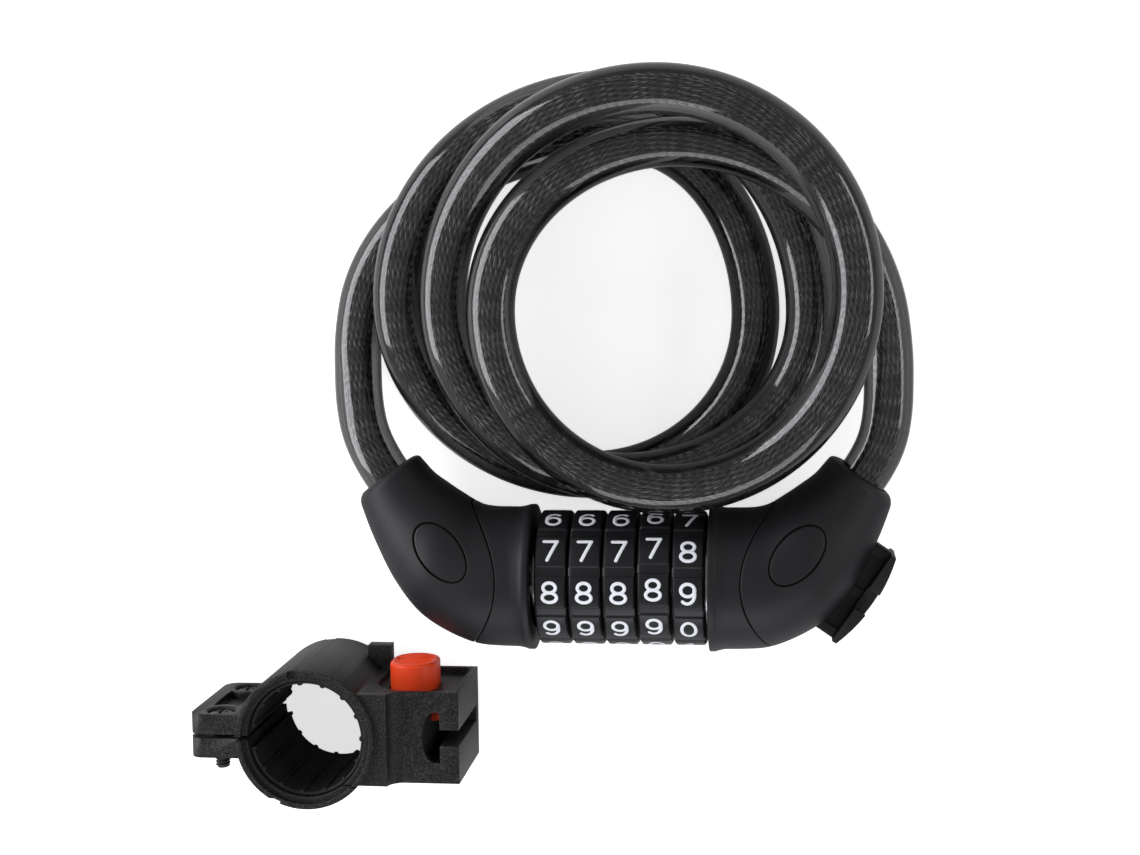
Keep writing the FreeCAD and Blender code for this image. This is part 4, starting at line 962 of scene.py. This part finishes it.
class CABLELOCK_OT_tongue(bpy.types.Operator):
    """T-shaped tongue whose flange is arched on its outside"""

    bl_idname = "cable_lock.tongue"
    bl_label = "Tongue"

    # The tongue's middle from the collar's face and the axis, its slant, half its length, the near and far
    # side of its flange, and how thick the flange stays at its ends.
    along = 32.95
    drop = 0.85
    turn = math.radians(34.3)
    half = 12.85
    flange = (5.0, 8.3)
    thin_end = 1.3
    # How far the carving tool reaches past the tongue.
    spare = 3.0
    edge = 0.25 * MM

    def execute(self, context):
        material = moulded_material("Tongue Plastic", context.scene.cable_lock_colours.tongue, 0.45,
                                    grain_scale=2400.0, grain_depth=0.12)
        item = solid_copy("bracket_tongue", "mounting_tongue", material)
        low, high = self.flange
        low += self.thin_end
        step = np.linspace(-1, 1, 25)
        out = np.append(low + (high - low) * (1 - step ** 2), [high + self.spare, high + self.spare])
        run = np.append(step * (self.half + 0.01), [self.half + self.spare, -self.half - self.spare])
        x = self.along + out * math.cos(self.turn) + run * math.sin(self.turn)
        y = -self.drop - out * math.sin(self.turn) + run * math.cos(self.turn)
        carve(item, [placed(prism(np.column_stack([x, y]), -10, 10), RIGHT_FACE, 0, AXIS)])
        soften(item, self.edge)
        declare(item, "code_head", ["mounting_tongue"])
        return {"FINISHED"}


class CABLELOCK_OT_bracket(bpy.types.Operator):
    """Two-piece bar bracket with its release button, screws and liner"""

    bl_idname = "cable_lock.bracket"
    bl_label = "Bracket"

    # Millimetres from the bore's axis and from the table.
    length = 38.0
    middle = 19.0
    ring_bore = 14.75
    rim_radius = 16.2
    rim_depth = 1.3
    ear_reach = 30.0
    ear_top = 5.5
    ear_low = 2.0
    ear_corner = 3.2
    recess_reach = 5.4
    recess_half = 3.5
    recess_depth = 1.9
    screw_reach = 23.0
    screw_rise = 12.0
    bore_radius = 3.5
    bore_mouth = 4.1
    bore_depth = 1.2
    block_top = 11.5
    block_reach = 38.0
    block_low = 4.5
    block_high = 33.5
    tray_wall = 1.5
    tray_near = 15.6
    tray_depth = 1.7
    tray_cut = 1.2
    tray_lip = 9.2
    slot_start = 28.6
    slot_half = 6.4
    slot_corner = 3.2
    slot_floor = 7.7
    web_reach = 20.5
    web_top = 37.1
    web_scoop = 5.2
    button_reach = 24.4
    button_half = 1.75
    button_radius = 6.0
    button_edge = 0.9
    button_proud = 5.5
    button_dome = 0.5
    ridge_depth = 0.8
    ridge_pitch = 2.3
    ridge_reach = 5.75
    head_radius = 3.0
    head_sink = 0.25
    head_dome = 0.45
    cross_reach = 1.9
    cross_half = 0.42
    cross_depth = 0.9
    thread_radius = 1.58
    thread_depth = 0.3
    thread_pitch = 0.8
    thread_below = 3.6
    # Half the liner's slit, in degrees, then its bore, its ends and its chamfer.
    liner_slit = 10.5
    liner_radius = 13.72
    liner_low = 0.4
    liner_high = 35.8
    liner_cut = 0.3
    rib_height = 0.45
    ribs = 15
    # Cutting tools reach this far past what they cut.
    spare = 1.0
    edge = 0.3 * MM
    # Two opposite corners of the notches in the ring's ends, and of the button's leg and its catch.
    upper_notches = (((-4.0, 15.3, 36.5), (-1.2, 19, 39)), ((-3.4, 15.3, -1), (-0.8, 19, 1.0)))
    lower_notch = ((-9.4, -19, 36.5), (-6.6, -14.9, 39))
    leg = ((25.8, 1.2, 16.5), (28.6, 9.5, 21.5))
    catch = ((28.2, 1.2, 16.5), (30.2, 3.8, 21.5))

    def put(self, form):
        """A form of the bracket moved to where the bracket stands."""
        return placed(form, self.x, self.y, 0)

    def ear_corners(self):
        """What lies outside the rounded corners of the ears, as prisms across them."""
        forms = []
        x = -self.ear_reach + self.ear_corner
        far = -self.ear_reach - 2
        for edge, sign in ((self.ear_low, 1), (self.length - self.ear_low, -1)):
            z = edge + sign * self.ear_corner
            round_part = oval(x, z, self.ear_corner, self.ear_corner, 180.0, 180.0 + sign * 90.0)
            outside = [(x, edge - sign * 2), (far, edge - sign * 2), (far, z)]
            forms.append(prism(np.concatenate([round_part, outside]), -8, 8, upright=False))
        return forms

    def ear_recess(self):
        """The recess between the screws: its short sides bow in round the counterbores."""
        reach = self.recess_reach
        wide = math.degrees(math.asin(self.recess_half / reach))
        sides = [oval(-self.screw_reach, self.middle - sign * self.screw_rise, reach, reach,
                      start + wide, start - wide) for sign, start in ((1, 90.0), (-1, 270.0))]
        return prism(np.concatenate(sides), self.ear_top - self.recess_depth, self.ear_top + self.spare,
                     upright=False)

    def counterbore(self, rise):
        """A screw's counterbore, which opens to a wider mouth."""
        top = self.ear_top
        profile = [(self.bore_radius, top - self.bore_depth), (self.bore_radius, top - 0.5),
                   (self.bore_mouth, top + 0.02), (self.bore_mouth, top + self.spare)]
        return turned(profile, (-self.screw_reach, 0, self.middle + rise), upright=False)

    def rim_step(self):
        """The step round the bore's upper end."""
        levels = (self.length - self.rim_depth, self.length + self.spare)
        return turned([(self.rim_radius, level) for level in levels], (0, 0, 0), sides=96)

    def tray(self):
        """The sunk tray round the button, with a corner cut off where the block meets the ring."""
        low = self.block_low + self.tray_wall
        high = self.block_high - self.tray_wall
        far = self.block_reach - self.tray_wall
        cut = self.tray_cut
        outline = [(far - cut, low), (far, low + cut), (far, high - cut), (far - cut, high)]
        rise = self.middle + self.button_half
        lip = oval(self.button_reach, rise, self.tray_lip, high - rise, 90.0, 160.0)
        near = [(self.tray_near, self.middle), (self.tray_near, low)]
        return prism(np.concatenate([outline, lip, near]), self.block_top - self.tray_depth,
                     self.block_top + self.spare, upright=False)

    def slot_fills(self):
        """What rounds the slot's two corners on the side of the ring."""
        forms = []
        start, corner, outer = self.slot_start, self.slot_corner, self.slot_half + 0.5
        for sign in (1, -1):
            round_part = oval(start + corner, 0, corner, self.slot_half, 180.0, 180.0 - sign * 90.0)
            outside = [(start + corner, sign * outer), (start - 0.5, sign * outer), (start - 0.5, 0)]
            outline = np.concatenate([round_part, outside])
            forms.append(prism(outline, self.slot_floor, self.block_high - 0.06))
        return forms

    def web_fills(self):
        """The web that runs up from the block along the ring, and the scoop at its foot."""
        side = self.block_top - 0.02
        reach, top, scoop = self.web_reach, self.web_top, self.web_scoop
        ring = oval(0, 0, self.rim_radius, self.rim_radius, -45.0, 45.0)
        web = prism(np.concatenate([ring, [(reach, side), (reach, -side)]]), self.block_high - 1, top)
        round_part = oval(reach + scoop, top + 0.01, scoop, top - self.block_high + 0.3, 180.0, 270.0)
        foot = [(reach + scoop, self.block_high - 2), (reach - 0.2, self.block_high - 2)]
        outline = np.concatenate([[(reach - 0.2, top - 0.01)], round_part, foot])
        return [web, prism(outline, -side, side, upright=False)]

    def clamp_half(self, name, node, material, fills, cuts):
        """A clamp half: a copy of its solid with parts added, parts cut away and its edges softened."""
        item = solid_copy(name, node, material)
        carve(item, [self.put(form) for form in fills], "UNION")
        carve(item, [self.put(form) for form in cuts])
        soften(item, self.edge)
        declare(item, "bracket", [node])

    def liner_form(self):
        """A slit tube whose inside carries low ribs: the bore swells between them by a smooth wave."""
        angle = np.radians(np.arange(-180 + self.liner_slit, 180 - self.liner_slit + 0.01, 0.75))[:, None]
        swell = (np.cos(angle * self.ribs).clip(0.75, 0.9) - 0.75) / 0.15
        inner = self.liner_radius - self.rib_height * swell
        outer = np.full_like(inner, self.ring_bore - 0.05)
        low, high, cut = self.liner_low, self.liner_high, self.liner_cut
        radius = np.concatenate([outer, outer, outer - cut, inner + cut,
                                 inner, inner, inner + cut, outer - cut], 1)
        level = np.array([low + cut, high - cut, high, high, high - cut, low + cut, low, low])
        return tube_form(stacked(radius * np.cos(angle), radius * np.sin(angle), level))

    def button_form(self):
        """A stadium plate with ridges across its domed top, and the leg and catch under it.

        The top's height is the dome minus a share of a cosine wave along Z that fades out near the edge."""
        angle = np.radians(np.arange(0, 360, 1.5))
        side = np.sign(np.sin(angle)) * self.button_half
        rows = []

        def add_ring(radius, level, ridge=0.0):
            z = radius * np.sin(angle) + side * min(radius / self.button_radius, 1.0)
            wave = 0.5 - 0.5 * np.cos(2 * math.pi * z / self.ridge_pitch)
            sink = ridge * wave * (np.abs(z) < self.ridge_reach)
            rows.append(stacked(radius * np.cos(angle), level - sink, z))

        top = self.block_top + self.button_proud
        flat = self.button_radius - self.button_edge
        for radius in np.linspace(0.1, flat, 44):
            fade = ((flat - radius) / 0.8).clip(0, 1)
            dome = self.button_dome * (radius / self.button_radius) ** 2
            add_ring(radius, top - dome, self.ridge_depth * fade)
        shoulder = top - self.button_dome * (flat / self.button_radius) ** 2
        for turn in np.radians(np.linspace(15, 90, 6)):
            drop = self.button_edge * (1 - math.cos(turn))
            add_ring(flat + self.button_edge * math.sin(turn), shoulder - drop)
        for level in (2.0, -1.9, -2.3):
            add_ring(self.button_radius, self.block_top + level)
        plate = tube_form(np.array(rows) + np.array([self.button_reach, 0, self.middle]))
        return joined([plate, block(*self.leg), block(*self.catch)])

    def screw_form(self, rise):
        """A pan head with a cross recess on a threaded shaft.

        The head sinks where the distance to the nearer cross arm is small; the thread's radius falls and
        rises by a triangle wave of the height plus the turn, and thins at the shaft's end."""
        angle = np.arange(96) * 2 * math.pi / 96
        near = np.minimum(np.abs(np.cos(angle)), np.abs(np.sin(angle)))
        rows = []

        def add_ring(radius, level):
            rows.append(stacked(radius * np.cos(angle), level, radius * np.sin(angle)))

        top = self.ear_top - self.head_sink
        low = -self.ear_top - self.thread_below
        for radius in np.linspace(0.05, self.head_radius, 34):
            inside = ((self.cross_half - radius * near) / 0.12).clip(0, 1)
            inside = inside * np.clip((self.cross_reach - radius) / 0.3, 0, 1)
            dome = self.head_dome * (radius / self.head_radius) ** 2
            add_ring(radius, top - dome - self.cross_depth * inside)
        for radius, drop in ((3.05, 0.62), (3.05, 1.1), (1.9, 1.15)):
            add_ring(radius, top - drop)
        for level in np.arange(top - 1.2, low, -0.1):
            wave = np.abs(2 * ((level / self.thread_pitch + angle / (2 * math.pi)) % 1.0) - 1)
            point = min(1.0, 0.72 + 0.5 * (level - low))
            add_ring((self.thread_radius + self.thread_depth * wave) * point, level)
        return tube_form(np.array(rows) + np.array([-self.screw_reach, 0, self.middle + rise]))

    def return_spring(self, material):
        """The spring under the button: a copy of its solid, with its place baked into its mesh; it rides on
        no body.
        """
        item = solid_copy("return_spring", "button_spring", material)
        declare(item, None, ["button_spring"])
        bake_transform(item)

    def execute(self, context):
        colours = context.scene.cable_lock_colours
        # The grained bracket's colour carries painted glints: its grain specks are lifted up to six times the
        # base colour.
        plastic = moulded_material("Grained Bracket", colours.bracket, 0.42, grain_scale=2400.0,
                                   grain_depth=0.9, sparkle=6.0, tone_change=0.4, specular=0.28)
        rubber = moulded_material("Liner Rubber", colours.liner, 0.5, grain_scale=1500.0, grain_depth=0.2)
        steel = moulded_material("Black Screw", colours.screw, 0.28, 0.5, grain_depth=0.08)
        red = moulded_material("Button Plastic", colours.button, 0.38, grain_scale=1500.0, grain_depth=0.06)
        low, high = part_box("clamp_liner")
        self.x = (low.x + high.x) / 2
        self.y = (low.y + high.y) / 2
        rises = (-self.screw_rise, self.screw_rise)
        cuts = self.ear_corners() + [self.counterbore(rise) for rise in rises]
        cuts += [block(*corners) for corners in self.upper_notches]
        cuts += [self.ear_recess(), self.tray(), self.rim_step()]
        self.clamp_half("bracket_upper", "clamp_upper", plastic, self.slot_fills() + self.web_fills(), cuts)
        cuts = self.ear_corners() + [self.rim_step(), block(*self.lower_notch)]
        self.clamp_half("bracket_lower", "clamp_lower", plastic, [], cuts)
        self.return_spring(moulded_material("Spring Steel", colours.spring, 0.3, 1.0, grain_depth=0.05))
        add_piece("bore_liner", self.put(self.liner_form()), rubber, "bracket",
                  ["clamp_liner"])
        add_piece("red_button", self.put(self.button_form()), red, "bracket_button",
                  ["release_button"])
        add_piece("crosshead_screws", self.put(joined([self.screw_form(rise) for rise in rises])), steel,
                  "bracket", ["clamp_screws"])
        return {"FINISHED"}


class CABLELOCK_OT_finishes(bpy.types.Operator):
    """Finishes of the pieces whose solids stay"""

    bl_idname = "cable_lock.finishes"
    bl_label = "Finishes"

    def execute(self, context):
        colours = context.scene.cable_lock_colours
        steel = moulded_material("Plated Steel", colours.steel, 0.25, 1.0, grain_depth=0.05)
        dark_steel = moulded_material("Black Nut", colours.nut, 0.35, 0.6, grain_depth=0.08)
        zinc = moulded_material("Cast Zinc", colours.zinc, 0.4, 1.0, grain_depth=0.2)
        plan = {zinc: ["code_barrel"] + [f"cam_ring_{number}" for number in range(1, DIALS + 1)],
                steel: ["barrel_end_ring", "thrust_washer", "friction_spring", "lock_pin",
                        "left_ferrule", "right_ferrule", "left_elbow_screws", "right_elbow_screws"],
                dark_steel: ["clamp_nuts"]}
        for material, nodes in plan.items():
            for node in nodes:
                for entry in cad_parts[node].material_slots:
                    entry.material = material
        return {"FINISHED"}


class CABLELOCK_OT_stage(bpy.types.Operator):
    """Pale floor, soft lamps and the camera"""

    bl_idname = "cable_lock.stage"
    bl_label = "Stage"

    frame_width = 1140
    frame_height = 855
    focal_pixels = 1920.0
    lean_right = 7.0
    lean_up = 6.0
    # The middle of the dial stack is at this pixel of the frame and this far from the camera.
    target_pixel = (624.5, 577.0)
    target_depth = 480 * MM
    floor_half = 4.0
    floor_glow = 0.7
    sky = 0.4
    # Each lamp's place in metres, its width and height, and its power in watts.
    lamps = {"key_lamp": ((-0.87, 0.2, 0.45), 1.1, 0.5, 11.0),
             "fill_lamp": ((0.87, 0.2, 0.45), 0.9, 0.2, 2.4),
             "front_lamp": ((0.05, -0.8, 0.5), 1.0, 0.4, 4.0)}
    lamp_colour = (0.95, 0.95, 1.0)
    lamp_target = (0.0, 0.04, 0.0)

    def add_floor(self):
        """A pale floor; only the camera sees its glow, which makes it look white and lights nothing."""
        corners = self.floor_half * np.array([(-1, -1, 0), (1, -1, 0), (1, 1, 0), (-1, 1, 0)])
        material, tree, shader = new_material("Floor")
        seen = add_node(tree, "LightPath", "Is Camera Ray", {})
        fill(tree, shader, {"Base Color": (0.8, 0.8, 0.8, 1.0), "Roughness": 0.9, "Specular IOR Level": 0.1,
                            "Emission Color": (1, 1, 1, 1),
                            "Emission Strength": calculate(tree, "MULTIPLY", seen, self.floor_glow)})
        make_object("floor", corners, [[0, 1, 2, 3]], material)

    def add_lamp(self, name, place, width, height, power):
        """A soft rectangular lamp that faces the lock."""
        lamp = bpy.data.lights.new(name, "AREA")
        lamp.shape = "RECTANGLE"
        lamp.size = width
        lamp.size_y = height
        lamp.energy = power
        lamp.color = self.lamp_colour
        item = bpy.data.objects.new(name, lamp)
        away = Vector(place) - Vector(self.lamp_target)
        item.matrix_world = Matrix.Translation(place) @ away.to_track_quat("Z", "Y").to_matrix().to_4x4()
        bpy.context.scene.collection.objects.link(item)

    def add_camera(self):
        """Camera axes: back leans right and up from +Z, and right is +X made square to it."""
        back = Vector((math.tan(math.radians(self.lean_right)), math.tan(math.radians(self.lean_up)), 1.0))
        back.normalize()
        right = Vector((1, 0, 0)) - back * back.x
        right.normalize()
        up = back.cross(right)
        off_right = (self.target_pixel[0] - self.frame_width / 2) / self.focal_pixels
        off_down = (self.target_pixel[1] - self.frame_height / 2) / self.focal_pixels
        place = Vector((0, 0, AXIS)) - self.target_depth * (right * off_right - up * off_down - back)
        camera = bpy.data.cameras.new("Camera")
        camera.sensor_fit = "HORIZONTAL"
        camera.lens = camera.sensor_width * self.focal_pixels / self.frame_width
        camera.clip_start = 0.01
        item = bpy.data.objects.new("Camera", camera)
        item.matrix_world = Matrix.Translation(place) @ Matrix((right, up, back)).transposed().to_4x4()
        bpy.context.scene.collection.objects.link(item)
        bpy.context.scene.camera = item

    def execute(self, context):
        self.add_floor()
        for name, values in self.lamps.items():
            self.add_lamp(name, *values)
        self.add_camera()
        world = bpy.data.worlds.new("Studio")
        world.use_nodes = True
        tree = world.node_tree
        fill(tree, tree.nodes["Background"], {"Color": (1, 1, 1, 1), "Strength": self.sky})
        context.scene.world = world
        context.scene.view_settings.view_transform = "Standard"
        return {"FINISHED"}


class CABLELOCK_PT_panel(bpy.types.Panel):
    """Lists the steps and the settings of the cable lock"""

    bl_idname = "CABLELOCK_PT_panel"
    bl_label = "Cable Lock"
    bl_space_type = "VIEW_3D"
    bl_region_type = "UI"
    bl_category = "Cable Lock"

    def draw(self, context):
        for step in STEPS:
            self.layout.operator(step.bl_idname)
        for group in (context.scene.cable_lock_sizes, context.scene.cable_lock_colours):
            for name in group.__annotations__:
                self.layout.prop(group, name)


STEPS = (CABLELOCK_OT_cable, CABLELOCK_OT_dials, CABLELOCK_OT_ends, CABLELOCK_OT_tongue,
         CABLELOCK_OT_bracket, CABLELOCK_OT_finishes, CABLELOCK_OT_stage)
CLASSES = (CableLockSizes, CableLockColours, *STEPS, CABLELOCK_PT_panel)


def register():
    for entry in CLASSES:
        bpy.utils.register_class(entry)
    bpy.types.Scene.cable_lock_sizes = PointerProperty(type=CableLockSizes)
    bpy.types.Scene.cable_lock_colours = PointerProperty(type=CableLockColours)


def unregister():
    del bpy.types.Scene.cable_lock_colours
    del bpy.types.Scene.cable_lock_sizes
    for entry in reversed(CLASSES):
        bpy.utils.unregister_class(entry)


def main():
    """Registers the add-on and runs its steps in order."""
    register()
    for step in STEPS:
        operator = getattr(bpy.ops.cable_lock, step.bl_idname.split(".")[1])
        if operator() != {"FINISHED"}:
            raise RuntimeError(f"{step.bl_label} did not finish")


if __name__ == "__main__":
    main()
